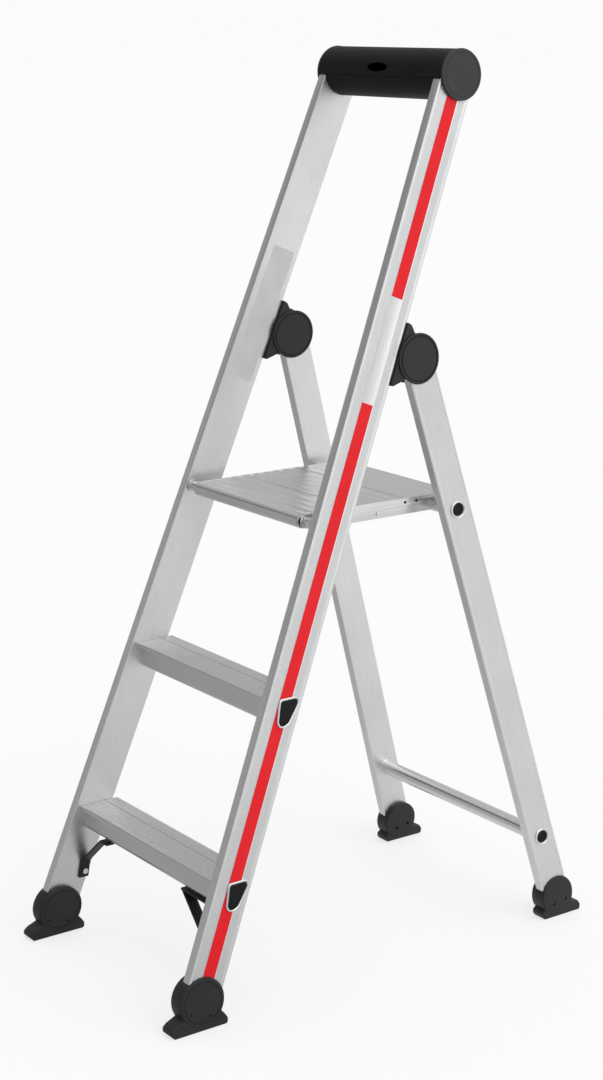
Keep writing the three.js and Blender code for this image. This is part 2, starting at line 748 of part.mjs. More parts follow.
function sidePlate() {
  const top = PLATFORM_TOP - 0.3;
  const saddle = arc(upperTubeY, TUBE_HEIGHTS.upper, saddleRadius, 0, 150);
  const shape = outline([
    ...arc(PIVOT_Y, PIVOT_Z, SIDE_PLATE_FRONT_RADIUS, 90, 270),
    [262, SIDE_PLATE_BOTTOM],
    [480.5, SIDE_PLATE_BOTTOM],
    ...saddle.reverse(),
    [upperTubeY + saddleRadius, 672],
    [514, 669.5],
    [PLATFORM_REAR - 2, 669.5],
    [PLATFORM_REAR, 672],
    [PLATFORM_REAR, top - 6],
    [PLATFORM_REAR - 5, top],
  ]);
  let plate = prism(shape, SIDE_PLATE_INNER, SIDE_PLATE_OUTER)
    .subtract(prism(circle(PIVOT_Y, PIVOT_Z, BOLT_RADIUS + GAP), 100, 150));
  for (const rivet of sideRivets) {
    plate = plate.subtract(prism(circle(rivet.y, rivet.z, rivet.head / 2 + GAP), 100, 150));
  }
  return plate;
}

addPair(platform, 'platform_side_plate', sidePlate(), millFinish);

sideRivets.forEach((rivet, i) => {
  const tailEnd = SIDE_PLATE_INNER - rivet.tail;
  let solid = prism(circle(rivet.y, rivet.z, rivet.head / 2), tailEnd, SIDE_PLATE_OUTER + 1)
    .add(prism(circle(rivet.y, rivet.z, rivet.head), SIDE_PLATE_OUTER + GAP, SIDE_PLATE_OUTER + 1.6));
  if (rivet.tail > 0) {
    solid = solid.add(prism(circle(rivet.y, rivet.z, rivet.head * 0.8), tailEnd, SIDE_PLATE_INNER - GAP));
  }
  addPair(platform, `platform_rivet_${i + 1}`, solid, zinc);
});

// ---------------------------------------------------------------- platform pivots

const around = (radius, from, to) => prism(circle(PIVOT_Y, PIVOT_Z, radius), from, to);
const boltClear = around(BOLT_RADIUS + GAP, 100, 200);

const pivotBolt = around(BOLT_HEAD_RADIUS, 127, SIDE_PLATE_INNER - GAP)
  .add(around(BOLT_RADIUS, 130, 167));
addPair(frontFrame, 'platform_pivot_bolt', pivotBolt, zinc);

const spacer = around(7.2, SIDE_PLATE_OUTER + 0.4, 150.5).subtract(boltClear);
addPair(frontFrame, 'platform_pivot_spacer', spacer, zinc);

const hexagon = outline(Array.from({ length: 6 }, (_, i) => {
  const angle = (i * Math.PI) / 3;
  return [PIVOT_Y + 8 * Math.cos(angle), PIVOT_Z + 8 * Math.sin(angle)];
}));
const nut = prism(hexagon, 150.8, 156.4).subtract(boltClear);
addPair(frontFrame, 'platform_pivot_nut', nut, zinc);

const washer = around(10, 156.7, 158.1).subtract(boltClear);
addPair(frontFrame, 'platform_pivot_washer', washer, zinc);

export default ladder;
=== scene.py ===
# %% [markdown]
# # A folding step-ladder with a platform
# This lesson dresses a folding aluminium step-ladder. Its frame was made in CAD,
# so every size and every hinge is already right. Here each part gets the rounded
# edges, ribs, beads and surface finish that make it look like the real thing.
# The ladder stands open: a front frame with two treads and a round hand rail,
# a rear frame that swings on two big plastic hinges, and a hinged platform.

import json
import math

import bmesh
import bpy
from mathutils import Matrix, Vector
from mathutils.geometry import tessellate_polygon


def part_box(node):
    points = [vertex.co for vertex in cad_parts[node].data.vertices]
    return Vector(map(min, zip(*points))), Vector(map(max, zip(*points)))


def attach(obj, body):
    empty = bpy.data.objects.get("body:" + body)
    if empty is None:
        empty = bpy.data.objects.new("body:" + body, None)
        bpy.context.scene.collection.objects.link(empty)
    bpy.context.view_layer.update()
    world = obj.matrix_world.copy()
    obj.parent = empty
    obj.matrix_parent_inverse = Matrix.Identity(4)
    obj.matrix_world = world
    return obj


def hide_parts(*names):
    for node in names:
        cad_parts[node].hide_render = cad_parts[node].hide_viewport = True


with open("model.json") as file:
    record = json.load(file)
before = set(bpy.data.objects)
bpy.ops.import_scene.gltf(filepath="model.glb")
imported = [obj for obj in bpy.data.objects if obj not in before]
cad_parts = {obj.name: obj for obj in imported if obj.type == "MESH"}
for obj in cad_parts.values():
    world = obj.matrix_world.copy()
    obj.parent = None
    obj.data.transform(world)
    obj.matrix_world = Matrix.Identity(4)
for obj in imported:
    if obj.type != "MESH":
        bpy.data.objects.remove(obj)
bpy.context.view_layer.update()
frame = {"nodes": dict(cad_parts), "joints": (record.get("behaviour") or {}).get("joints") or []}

# %% [markdown]
# ## Camera, light and floor
# The camera comes first, because everything else is judged through it. It stands
# to the right of the treads, a little above the hand rail, and looks slightly down.
# A long lens keeps the uprights nearly parallel. Polished and satin metal shows
# mostly what is round it, so the light is a room made to be reflected: brighter on
# the right, with one dark strip on the front wall that draws the line along a tube.
# Two wide soft lamps, like an overcast sky, add faint shadows on a pale floor.

# %% Camera
MM = 0.001
CAMERA_PLACE = (2.5128, -1.8284, 1.3874)
CAMERA_AZIMUTH = 54.09
CAMERA_DOWN = 13.878
CAMERA_LENS = 70.97

camera_data = bpy.data.cameras.new("camera")
camera_data.lens = CAMERA_LENS
camera_data.clip_end = 50
camera = bpy.data.objects.new("camera", camera_data)
camera.location = CAMERA_PLACE
camera.rotation_euler = (math.radians(90 - CAMERA_DOWN), 0, math.radians(CAMERA_AZIMUTH))
bpy.context.scene.collection.objects.link(camera)
bpy.context.scene.camera = camera
bpy.context.scene.view_settings.view_transform = "Standard"
print("camera lens, mm:", CAMERA_LENS)


# %% Lamps
def soft_sun(name, place, spread, strength):
    """A distant soft lamp: it lights the floor evenly, out to the horizon."""
    data = bpy.data.lights.new(name, "SUN")
    data.angle = math.radians(spread)
    data.energy = strength
    light = bpy.data.objects.new(name, data)
    light.location = place
    light.rotation_euler = (-Vector(place)).to_track_quat("-Z", "Y").to_euler()
    bpy.context.scene.collection.objects.link(light)
    return light


SIDE_LAMP = {"place": (3.4, 0.6, 2.4), "spread": 70, "strength": 0.75}
TOP_LAMP = {"place": (-0.4, 0.4, 3.6), "spread": 60, "strength": 0.55}
soft_sun("side lamp", **SIDE_LAMP)
soft_sun("top lamp", **TOP_LAMP)


# %% Node helpers
def wire(tree, *links):
    """Each link is (from node, output, to node, input)."""
    for source, output, target, socket in links:
        tree.links.new(source.outputs[output], target.inputs[socket])


def link_value(tree, source, target):
    tree.links.new(source, target)


def new_node(tree, kind, **settings):
    node = tree.nodes.new(kind)
    for key, value in settings.items():
        setattr(node, key, value)
    return node


def grey_steps(tree, value, shades):
    """A grey that follows a value from 0 to 1, by (place, grey) steps."""
    ramp = tree.nodes.new("ShaderNodeValToRGB")
    elements = ramp.color_ramp.elements
    for position, grey in shades[1:-1]:
        elements.new(position).color = (grey, grey, grey, 1)
    for element, (position, grey) in ((elements[0], shades[0]), (elements[-1], shades[-1])):
        element.position = position
        element.color = (grey, grey, grey, 1)
    link_value(tree, value, ramp.inputs["Fac"])
    return ramp.outputs["Color"]


# %% Room
BACKDROP = 0.965
ROOM_LEVEL = 0.84
TOWARDS_BRIGHT = (0.25, 0.157, 0)
WALL_SHADES = [(0.0, 1.0), (0.29, 1.0), (0.36, 0.08), (0.45, 0.08), (0.53, 1.0), (1.0, 1.0)]


def make_room():
    """Plain white to the eye. As light it is brighter on the right, with a dark strip on the front wall."""
    world = bpy.data.worlds.new("room")
    world.use_nodes = True
    tree = world.node_tree
    tree.nodes.clear()
    where = new_node(tree, "ShaderNodeTexCoord")
    side = new_node(tree, "ShaderNodeVectorMath", operation="DOT_PRODUCT")
    side.inputs[1].default_value = TOWARDS_BRIGHT
    level = new_node(tree, "ShaderNodeMath", operation="ADD")
    level.inputs[1].default_value = ROOM_LEVEL
    split = new_node(tree, "ShaderNodeSeparateXYZ")
    rear = new_node(tree, "ShaderNodeMapRange")
    rear.inputs["From Min"].default_value = -0.40
    rear.inputs["From Max"].default_value = -0.12
    wall = new_node(tree, "ShaderNodeMath", operation="MAXIMUM")
    strength = new_node(tree, "ShaderNodeMath", operation="MULTIPLY")
    light = new_node(tree, "ShaderNodeBackground")
    seen = new_node(tree, "ShaderNodeBackground")
    seen.inputs["Color"].default_value = (BACKDROP, BACKDROP, BACKDROP, 1)
    path = new_node(tree, "ShaderNodeLightPath")
    choose = new_node(tree, "ShaderNodeMixShader")
    result = new_node(tree, "ShaderNodeOutputWorld")
    wire(tree,
         (where, "Generated", side, 0),
         (where, "Generated", split, "Vector"),
         (side, "Value", level, 0),
         (split, "Y", rear, "Value"))
    link_value(tree, grey_steps(tree, split.outputs["Z"], WALL_SHADES), wall.inputs[0])
    wire(tree,
         (rear, "Result", wall, 1),
         (wall, "Value", strength, 0),
         (level, "Value", strength, 1),
         (strength, "Value", light, "Strength"),
         (path, "Is Camera Ray", choose, "Fac"),
         (light, "Background", choose, 1),
         (seen, "Background", choose, 2),
         (choose, "Shader", result, "Surface"))
    return world


bpy.context.scene.world = make_room()

# %% Floor
FLOOR_HALF = 40.0
# greys of the floor's painted glow, as the metal sees it, from the front towards the rear and right
FLOOR_SHADES = [(0.0, 0.40), (0.27, 0.44), (0.50, 0.80), (1.0, 0.96)]
FLOOR_TOWARDS_BRIGHT = (0.35, 0.94, 0)


def make_floor_paint():
    """Pale to the eye, with faint shadows. Other rays see a painted glow instead, dimmer at the front and
    brighter towards the rear and right, which stands in for the floor's light in the metal.
    """
    paint = bpy.data.materials.new("floor paint")
    paint.use_nodes = True
    tree = paint.node_tree
    eye = tree.nodes["Principled BSDF"]
    eye.inputs["Base Color"].default_value = (0.30, 0.30, 0.30, 1)
    eye.inputs["Roughness"].default_value = 1.0
    eye.inputs["Specular IOR Level"].default_value = 0.0
    eye.inputs["Emission Color"].default_value = (1, 1, 1, 1)
    eye.inputs["Emission Strength"].default_value = 0.69
    where = new_node(tree, "ShaderNodeTexCoord")
    side = new_node(tree, "ShaderNodeVectorMath", operation="DOT_PRODUCT")
    side.inputs[1].default_value = FLOOR_TOWARDS_BRIGHT
    across = new_node(tree, "ShaderNodeMapRange")
    across.inputs["From Min"].default_value = -1.5
    across.inputs["From Max"].default_value = 2.5
    # painted glow: what the metal sees of the floor is an emission gradient that stands in for light from
    # the right, not a reflection
    painted_glow = new_node(tree, "ShaderNodeEmission")
    path = new_node(tree, "ShaderNodeLightPath")
    choose = new_node(tree, "ShaderNodeMixShader")
    wire(tree,
         (where, "Object", side, 0),
         (side, "Value", across, "Value"))
    link_value(tree, grey_steps(tree, across.outputs["Result"], FLOOR_SHADES), painted_glow.inputs["Color"])
    wire(tree,
         (path, "Is Camera Ray", choose, "Fac"),
         (painted_glow, "Emission", choose, 1),
         (eye, "BSDF", choose, 2))
    link_value(tree, choose.outputs["Shader"], tree.nodes["Material Output"].inputs["Surface"])
    return paint


floor_mesh = bpy.data.meshes.new("floor")
corners = [(-1, -1), (1, -1), (1, 1), (-1, 1)]
floor_mesh.from_pydata([(x * FLOOR_HALF, y * FLOOR_HALF, -0.0005) for x, y in corners], [], [(0, 1, 2, 3)])
floor_mesh.materials.append(make_floor_paint())
floor = bpy.data.objects.new("floor", floor_mesh)
bpy.context.scene.collection.objects.link(floor)
print("stage ready, floor half width, m:", FLOOR_HALF)

# %% [markdown]
# ## Finishes
# The real ladder has a handful: satin anodised aluminium on the uprights, the same
# metal with running ribs on the steps, glossier tubes and side plates, black moulded
# plastic, painted steel braces and bright zinc-plated fasteners. A red film runs
# down the outer faces of the front stiles, and a plain label sits on one stile.
#
# An extruded bar shows fine lines along its length, because the die leaves them.
# They are drawn by a noise that is squeezed across the bar and stretched along it.
# More than one finish uses that noise, so it is a node group. The group turns the
# pattern to a bar's lean, and gives out one value that roughness, colour and a
# very small bump all read.

# %% Shader groups
def value_group(name, inputs, outputs):
    """A shader group with float or vector inputs (name, kind, default) and float outputs."""
    tree = bpy.data.node_groups.new(name, "ShaderNodeTree")
    for title, kind, default in inputs:
        socket = tree.interface.new_socket(title, in_out="INPUT", socket_type=kind)
        if default is not None:
            socket.default_value = default
    for title in outputs:
        tree.interface.new_socket(title, in_out="OUTPUT", socket_type="NodeSocketFloat")
    return tree, tree.nodes.new("NodeGroupInput"), tree.nodes.new("NodeGroupOutput")


# %% Shared effect: lines left by the extrusion die
def make_die_lines():
    tree, given, result = value_group(
        "die lines",
        [("Vector", "NodeSocketVector", None), ("Lean", "NodeSocketFloat", 0.0),
         ("Density", "NodeSocketFloat", 1.0)],
        ["Lines", "Cloud"],
    )
    turn = new_node(tree, "ShaderNodeVectorRotate", rotation_type="X_AXIS")
    stretch = new_node(tree, "ShaderNodeVectorMath", operation="MULTIPLY")
    stretch.inputs[1].default_value = (900, 900, 7)
    dense = new_node(tree, "ShaderNodeVectorMath", operation="SCALE")
    fine = new_node(tree, "ShaderNodeTexNoise")
    fine.inputs["Scale"].default_value = 1.0
    fine.inputs["Detail"].default_value = 3.0
    cloud = new_node(tree, "ShaderNodeTexNoise")
    cloud.inputs["Scale"].default_value = 9.0
    cloud.inputs["Detail"].default_value = 2.0
    wire(tree,
         (given, "Vector", turn, "Vector"),
         (given, "Lean", turn, "Angle"),
         (turn, "Vector", stretch, 0),
         (stretch, "Vector", dense, 0),
         (given, "Density", dense, "Scale"),
         (dense, "Vector", fine, "Vector"),
         (turn, "Vector", cloud, "Vector"),
         (fine, "Fac", result, "Lines"),
         (cloud, "Fac", result, "Cloud"))
    return tree


die_lines = make_die_lines()


# %% Shared effect: the fine grain of a moulded part
def make_mould_grain():
    tree, given, result = value_group(
        "mould grain",
        [("Vector", "NodeSocketVector", None), ("Size", "NodeSocketFloat", 1.0)],
        ["Grain", "Patches"],
    )
    grain = new_node(tree, "ShaderNodeTexNoise")
    grain.inputs["Detail"].default_value = 2.0
    patches = new_node(tree, "ShaderNodeTexNoise")
    patches.inputs["Scale"].default_value = 22.0
    patches.inputs["Detail"].default_value = 4.0
    scale = new_node(tree, "ShaderNodeMath", operation="DIVIDE")
    scale.inputs[0].default_value = 1300.0
    wire(tree,
         (given, "Vector", grain, "Vector"),
         (given, "Vector", patches, "Vector"),
         (given, "Size", scale, 1),
         (scale, "Value", grain, "Scale"),
         (grain, "Fac", result, "Grain"),
         (patches, "Fac", result, "Patches"))
    return tree


mould_grain = make_mould_grain()
print("shared effects:", die_lines.name, "and", mould_grain.name)


# %% Finish builders
def ramp(tree, source, low, high):
    """A value from 0 to 1 turned into one between low and high."""
    node = new_node(tree, "ShaderNodeMapRange")
    node.inputs["To Min"].default_value = low
    node.inputs["To Max"].default_value = high
    node.inputs["From Min"].default_value = 0.3
    node.inputs["From Max"].default_value = 0.7
    link_value(tree, source, node.inputs["Value"])
    return node.outputs["Result"]


def tint(tree, factor, dark, light):
    node = new_node(tree, "ShaderNodeMix", data_type="RGBA")
    node.inputs[6].default_value = (*dark, 1)
    node.inputs[7].default_value = (*light, 1)
    link_value(tree, factor, node.inputs["Factor"])
    return node.outputs[2]


def bump(tree, height, distance, shader):
    node = new_node(tree, "ShaderNodeBump")
    node.inputs["Strength"].default_value = 1.0
    node.inputs["Distance"].default_value = distance
    link_value(tree, height, node.inputs["Height"])
    wire(tree, (node, "Normal", shader, "Normal"))


def blank_finish(name):
    finish = bpy.data.materials.new(name)
    finish.use_nodes = True
    tree = finish.node_tree
    where = tree.nodes.new("ShaderNodeTexCoord")
    return finish, tree, where.outputs["Object"], tree.nodes["Principled BSDF"]


def metal_finish(name, dark, light, roughness, lean=0.0, along="Z", density=1.0, bump_height=0.00001):
    """Satin metal with die lines. along names the axis that the lines follow before the lean."""
    finish, tree, place, shader = blank_finish(name)
    if along == "X":
        swap = new_node(tree, "ShaderNodeVectorRotate", rotation_type="Y_AXIS")
        swap.inputs["Angle"].default_value = math.radians(90)
        link_value(tree, place, swap.inputs["Vector"])
        place = swap.outputs["Vector"]
    lines = new_node(tree, "ShaderNodeGroup", node_tree=die_lines)
    lines.inputs["Lean"].default_value = lean
    lines.inputs["Density"].default_value = density
    link_value(tree, place, lines.inputs["Vector"])
    mixed = new_node(tree, "ShaderNodeMath", operation="MULTIPLY_ADD")
    mixed.inputs[1].default_value = 0.55
    wire(tree, (lines, "Lines", mixed, 0))
    cloud = new_node(tree, "ShaderNodeMath", operation="MULTIPLY")
    cloud.inputs[1].default_value = 0.45
    wire(tree,
         (lines, "Cloud", cloud, 0),
         (cloud, "Value", mixed, 2))
    shader.inputs["Metallic"].default_value = 1.0
    link_value(tree, tint(tree, ramp(tree, mixed.outputs["Value"], 0, 1), dark, light),
               shader.inputs["Base Color"])
    link_value(tree, ramp(tree, mixed.outputs["Value"], roughness[1], roughness[0]),
               shader.inputs["Roughness"])
    bump(tree, lines.outputs["Lines"], bump_height, shader)
    return finish


def plastic_finish(name, dark, light, roughness, size=1.0, bump_height=0.00004, shine=0.35):
    """Moulded plastic: near black, a fine satin grain and faint cloudy wear."""
    finish, tree, place, shader = blank_finish(name)
    grain = new_node(tree, "ShaderNodeGroup", node_tree=mould_grain)
    grain.inputs["Size"].default_value = size
    link_value(tree, place, grain.inputs["Vector"])
    link_value(tree, tint(tree, ramp(tree, grain.outputs["Patches"], 0, 1), dark, light),
               shader.inputs["Base Color"])
    link_value(tree, ramp(tree, grain.outputs["Patches"], roughness[0], roughness[1]),
               shader.inputs["Roughness"])
    shader.inputs["Specular IOR Level"].default_value = shine
    bump(tree, grain.outputs["Grain"], bump_height, shader)
    return finish


# %% The finishes of this ladder
STILE_LEAN = math.radians(21.45)
LEG_LEAN = math.radians(16.28)

stile_metal = metal_finish("anodised stile", (0.66, 0.665, 0.67), (0.76, 0.765, 0.77), (0.34, 0.46),
                           lean=STILE_LEAN)
leg_metal = metal_finish("anodised leg", (0.66, 0.665, 0.67), (0.76, 0.765, 0.77), (0.34, 0.46),
                         lean=-LEG_LEAN)
step_metal = metal_finish("ribbed step metal", (0.62, 0.62, 0.63), (0.72, 0.725, 0.735), (0.26, 0.36),
                          along="X")
tube_metal = metal_finish("drawn tube", (0.70, 0.702, 0.705), (0.80, 0.80, 0.805), (0.16, 0.26), along="X")
plate_metal = metal_finish("rolled side plate", (0.62, 0.622, 0.625), (0.80, 0.80, 0.805), (0.14, 0.30),
                           lean=math.radians(90), density=0.35, bump_height=0.00005)
zinc = metal_finish("zinc plating", (0.62, 0.62, 0.60), (0.80, 0.80, 0.79), (0.22, 0.34), density=0.3)
black_plastic = plastic_finish("black moulded plastic", (0.012, 0.012, 0.0125), (0.020, 0.020, 0.0205),
                               (0.42, 0.54))
rail_plastic = plastic_finish("hand rail plastic", (0.005, 0.005, 0.0052), (0.010, 0.010, 0.0103),
                              (0.52, 0.62), shine=0.16)
cap_plastic = plastic_finish("black end cap plastic", (0.026, 0.026, 0.027), (0.038, 0.038, 0.039),
                             (0.44, 0.56))
brace_paint = plastic_finish("black powder coat", (0.004, 0.004, 0.004), (0.009, 0.009, 0.009), (0.38, 0.5),
                             size=1.6, bump_height=0.00008)
red_film = plastic_finish("red film", (0.78, 0.006, 0.012), (0.84, 0.009, 0.017), (0.36, 0.44),
                          size=0.8, bump_height=0.00001, shine=0.25)
label_film = plastic_finish("plain label", (0.62, 0.62, 0.62), (0.70, 0.70, 0.70), (0.40, 0.52),
                            size=1.2, bump_height=0.00001, shine=0.3)
print("finishes:", len([m for m in bpy.data.materials]))

# %% [markdown]
# ## Where things are
# The CAD model gives the places: the hinge axes come from the joints, and heights
# from the boxes of the parts. Sketches are made in millimetres, with y measured
# from the line where the front stiles' centre meets the floor. One matrix turns
# that bench frame into the model's own frame, in metres.

# %% Bench frame and key places
TOE_REACH = 36.0
front_foot_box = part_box("front_foot_right")
bench_y = front_foot_box[0].y / MM + TOE_REACH
to_model = Matrix.Scale(MM, 4) @ Matrix.Translation((0, bench_y, 0))


def bench(point):
    """A place in the model, in metres, as bench millimetres (y, z)."""
    return point[1] / MM - bench_y, point[2] / MM


joints = {joint["name"]: joint for joint in frame["joints"]}
HINGE = bench(joints["rear_frame_fold"]["pos_m"])
PIVOT = bench(joints["platform_fold"]["pos_m"])


def middle_of(node):
    low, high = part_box(node)
    return bench((low + high) / 2)


RAIL = middle_of("handle_end_cap_right")
TUBES = {height: middle_of(f"tube_plug_{height}_right") for height in ("lower", "upper")}
TREAD_TOPS = {name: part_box(f"tread_{name}")[1].z / MM for name in ("lower", "upper")}
PLATFORM_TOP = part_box("platform_middle_board")[1].z / MM
print("hinge", HINGE, "pivot", PIVOT, "rail", RAIL)
print("tubes", TUBES, "treads", TREAD_TOPS, "platform", PLATFORM_TOP)


# %% Leaning frames
def leaning_frame(half_width, thickness, narrowing, foot_y, lean):
    """Local x across the profile's thickness (outwards), y across its depth, z along it."""
    along = Vector((-narrowing, math.tan(lean), 1)).normalized()
    across = Vector((0, math.cos(lean), -math.sin(lean)))
    outward = across.cross(along).normalized()
    matrix = Matrix((outward, across, along)).transposed().to_4x4()
    matrix.translation = (half_width - thickness / 2, foot_y, 0)
    return matrix


STILE_THICKNESS, STILE_DEPTH = 16.4, 60.0
LEG_THICKNESS, LEG_DEPTH = 16.4, 49.2
STILE_NARROWING, LEG_NARROWING = 0.05257, 0.05567
LEG_FOOT_Y = 697.2
stile_frame = leaning_frame(211.9, STILE_THICKNESS, STILE_NARROWING, 0, STILE_LEAN)
leg_frame = leaning_frame(212.5, LEG_THICKNESS, LEG_NARROWING, LEG_FOOT_Y, -LEG_LEAN)
straight = Matrix.Identity(4)


def in_profile(matrix, place):
    """Across and along a leaning profile, for a side-view place (y, z)."""
    along = matrix.col[2]
    slope = along[1] / along[2]
    tilt = math.atan(slope)
    across = (place[0] - matrix.translation.y - place[1] * slope) * math.cos(tilt)
    return across, (place[1] + across * math.sin(tilt)) / along[2]


def face_x(matrix, offset, place):
    """Bench x of a plane parallel to a profile's faces, at a side-view place."""
    normal = matrix.col[0].to_3d()
    rest = normal.y * (place[0] - matrix.translation.y) + normal.z * place[1]
    return matrix.translation.x + (offset - rest) / normal.x


hinge_local = in_profile(stile_frame, HINGE)
rail_local = in_profile(stile_frame, RAIL)
leg_hinge_local = in_profile(leg_frame, HINGE)
print("hinge in the stile's frame:", hinge_local)

# %% [markdown]
# ## Shape helpers
# Nearly all of this ladder is cut from flat outlines: extruded bars, pressed
# plates and turned discs. So there are three makers. The first pushes an outline
# between two planes, the second draws a section out along a bar, and the third
# turns a half section about an axis. Each returns a bmesh in bench millimetres.
# One more helper, softened, rounds the edges of a shape that is already made.


# %% Outlines
def arc(centre, radius, start, end, steps=16):
    points = []
    for i in range(steps + 1):
        angle = math.radians(start + (end - start) * i / steps)
        points.append((centre[0] + radius * math.cos(angle), centre[1] + radius * math.sin(angle)))
    return points


def round_corners(points, radius, steps=5):
    """Every corner of a closed outline replaced by a short smooth curve."""
    rounded = []
    for i, here in enumerate(points):
        corner = Vector(here)
        before = Vector(points[i - 1]) - corner
        after = Vector(points[(i + 1) % len(points)]) - corner
        reach = min(radius, 0.45 * before.length, 0.45 * after.length)
        first = corner + before.normalized() * reach
        last = corner + after.normalized() * reach
        for k in range(steps + 1):
            t = k / steps
            rounded.append(tuple(first * (1 - t) ** 2 + corner * 2 * t * (1 - t) + last * t ** 2))
    return rounded


def grown(points, distance):
    """An anticlockwise outline moved outwards by a distance."""
    result = []
    for i, here in enumerate(points):
        arriving = (Vector(here) - Vector(points[i - 1])).normalized()
        leaving = (Vector(points[(i + 1) % len(points)]) - Vector(here)).normalized()
        normal_in = Vector((arriving.y, -arriving.x))
        normal_out = Vector((leaving.y, -leaving.x))
        middle = (normal_in + normal_out).normalized()
        reach = distance / max(0.3, middle.dot(normal_in))
        result.append((here[0] + middle.x * reach, here[1] + middle.y * reach))
    return result


# %% Makers
def pushed(outline, low, high, matrix=straight, holes=()):
    """An outline in local (y, z) pushed along local x. low and high are numbers, or functions of (y, z)."""
    bm = bmesh.new()
    loops = [list(outline)] + [list(hole) for hole in holes]
    ends = [end if callable(end) else (lambda place, at=end: at) for end in (low, high)]
    rows = []
    for end in ends:
        rows.append([[bm.verts.new((end(p), p[0], p[1])) for p in loop] for loop in loops])
    for loop_low, loop_high in zip(*rows):
        for i in range(len(loop_low)):
            j = (i + 1) % len(loop_low)
            bm.faces.new((loop_low[i], loop_low[j], loop_high[j], loop_high[i]))
    flat = [[Vector((0, p[0], p[1])) for p in loop] for loop in loops]
    triangles = tessellate_polygon(flat) if holes else None
    for row in rows:
        verts = [v for loop in row for v in loop]
        if triangles is None:
            bm.faces.new(verts)
        else:
            for triangle in triangles:
                bm.faces.new([verts[i] for i in triangle])
    bmesh.ops.recalc_face_normals(bm, faces=bm.faces)
    bm.transform(matrix)
    return bm


def softened(bm, radius, angle=50, segments=3):
    """Sharp edges rounded."""
    sharp = [e for e in bm.edges if e.is_manifold and e.calc_face_angle(0) > math.radians(angle)]
    bmesh.ops.bevel(bm, geom=sharp, offset=radius, segments=segments, profile=0.5, affect="EDGES",
                    clamp_overlap=True)
    return bm


def drawn_out(section, start, end, matrix, hole=None):
    """A section in local (x, y) drawn along local z, from start to end."""
    turn = Matrix(((0, 1, 0, 0), (0, 0, 1, 0), (1, 0, 0, 0), (0, 0, 0, 1)))
    holes = (hole,) if hole else ()
    return pushed(section, start, end, matrix @ turn, holes)


def turned(half_section, centre, matrix=straight, steps=72):
    """A half section of (radius, local x), from axis to axis, turned about a line along local x."""
    bm = bmesh.new()
    rings = []
    for radius, x in half_section:
        if radius < 1e-6:
            rings.append([bm.verts.new((x, centre[0], centre[1]))])
            continue
        ring = []
        for i in range(steps):
            angle = 2 * math.pi * i / steps
            ring.append(bm.verts.new((x, centre[0] + radius * math.cos(angle),
                                      centre[1] + radius * math.sin(angle))))
        rings.append(ring)
    closed = rings if len(rings[0]) == 1 else rings + [rings[0]]
    for first, second in zip(closed, closed[1:]):
        for i in range(steps):
            j = (i + 1) % steps
            corners = [first[i % len(first)], first[j % len(first)],
                       second[j % len(second)], second[i % len(second)]]
            kept = list(dict.fromkeys(corners))
            if len(kept) > 2:
                bm.faces.new(kept)
    bmesh.ops.recalc_face_normals(bm, faces=bm.faces)
    bm.transform(matrix)
    return bm


def joined(*parts):
    whole = bmesh.new()
    for part in parts:
        mesh = bpy.data.meshes.new("part")
        part.to_mesh(mesh)
        whole.from_mesh(mesh)
        bpy.data.meshes.remove(mesh)
        part.free()
    return whole


def mirror_image(bm):
    copy = bm.copy()
    bmesh.ops.scale(copy, vec=(-1, 1, 1), verts=copy.verts)
    bmesh.ops.reverse_faces(copy, faces=copy.faces)
    return copy


# %% Turning a bmesh into a piece that rides on the frame
SMOOTH_BELOW = math.radians(38)
made = []


def piece(bm, name, body, finish, nodes=()):
    bm.transform(to_model)
    mesh = bpy.data.meshes.new(name)
    bm.to_mesh(mesh)
    bm.free()
    shape = bpy.data.objects.new(name, mesh)
    bpy.context.scene.collection.objects.link(shape)
    settle(shape, body, finish, nodes)
    return shape


def settle(shape, body, finish, nodes=()):
    """Shading and finish for a finished mesh; it rides on its body's empty, and the CAD parts it stands for
    are hidden.
    """
    shape.data.materials.clear()
    shape.data.materials.append(finish)
    shape.data.polygons.foreach_set("use_smooth", [True] * len(shape.data.polygons))
    shape.data.set_sharp_from_angle(angle=SMOOTH_BELOW)
    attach(shape, body)
    if nodes:
        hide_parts(*nodes)
    made.append(shape.name)


def pair(bm, name, body, finish, node=None):
    """A right-hand piece and its mirror image on the left."""
    other = mirror_image(bm)
    for side, shape in (("right", bm), ("left", other)):
        nodes = (f"{node}_{side}",) if node else ()
        piece(shape, f"{name}_{side}", body, finish, nodes)


def trimmed(bm, cutter, operation="DIFFERENCE"):
    """bm with a cutter taken away from it, or only what both fill. Both are closed."""
    objects = []
    for shape in (bm, cutter):
        mesh = bpy.data.meshes.new("trim")
        shape.to_mesh(mesh)
        shape.free()
        item = bpy.data.objects.new("trim", mesh)
        bpy.context.scene.collection.objects.link(item)
        objects.append(item)
    modifier = objects[0].modifiers.new("cut", "BOOLEAN")
    modifier.operation = operation
    modifier.solver = "EXACT"
    modifier.object = objects[1]
    graph = bpy.context.evaluated_depsgraph_get()
    cut = bpy.data.meshes.new_from_object(objects[0].evaluated_get(graph))
    result = bmesh.new()
    result.from_mesh(cut)
    for item in objects:
        mesh = item.data
        bpy.data.objects.remove(item)
        bpy.data.meshes.remove(mesh)
    bpy.data.meshes.remove(cut)
    return result


# %% [markdown]
# ## Front stiles
# A stile is a hollow aluminium extrusion. Its outer face has a rounded bead along
# each edge and fine running grooves, and a shallow bed that takes the red film.
# The section is sketched once and drawn out along the lean, just as the press
# draws it through the die, so the grooves run true from foot to hand rail.

# %% Section of a profile
GROOVE_PITCH = 1.9
GROOVE_DEPTH = 0.28


def grooved(start, end, level):
    """Points along a grooved face, at level x, from y start to y end."""
    count = max(1, round(abs(end - start) / GROOVE_PITCH))
    step = (end - start) / count
    points = []
    for i in range(count):
        y = start + i * step
        points += [(level, y + 0.08 * step), (level, y + 0.62 * step),
                   (level - GROOVE_DEPTH, y + 0.74 * step), (level - GROOVE_DEPTH, y + 0.92 * step)]
    return points


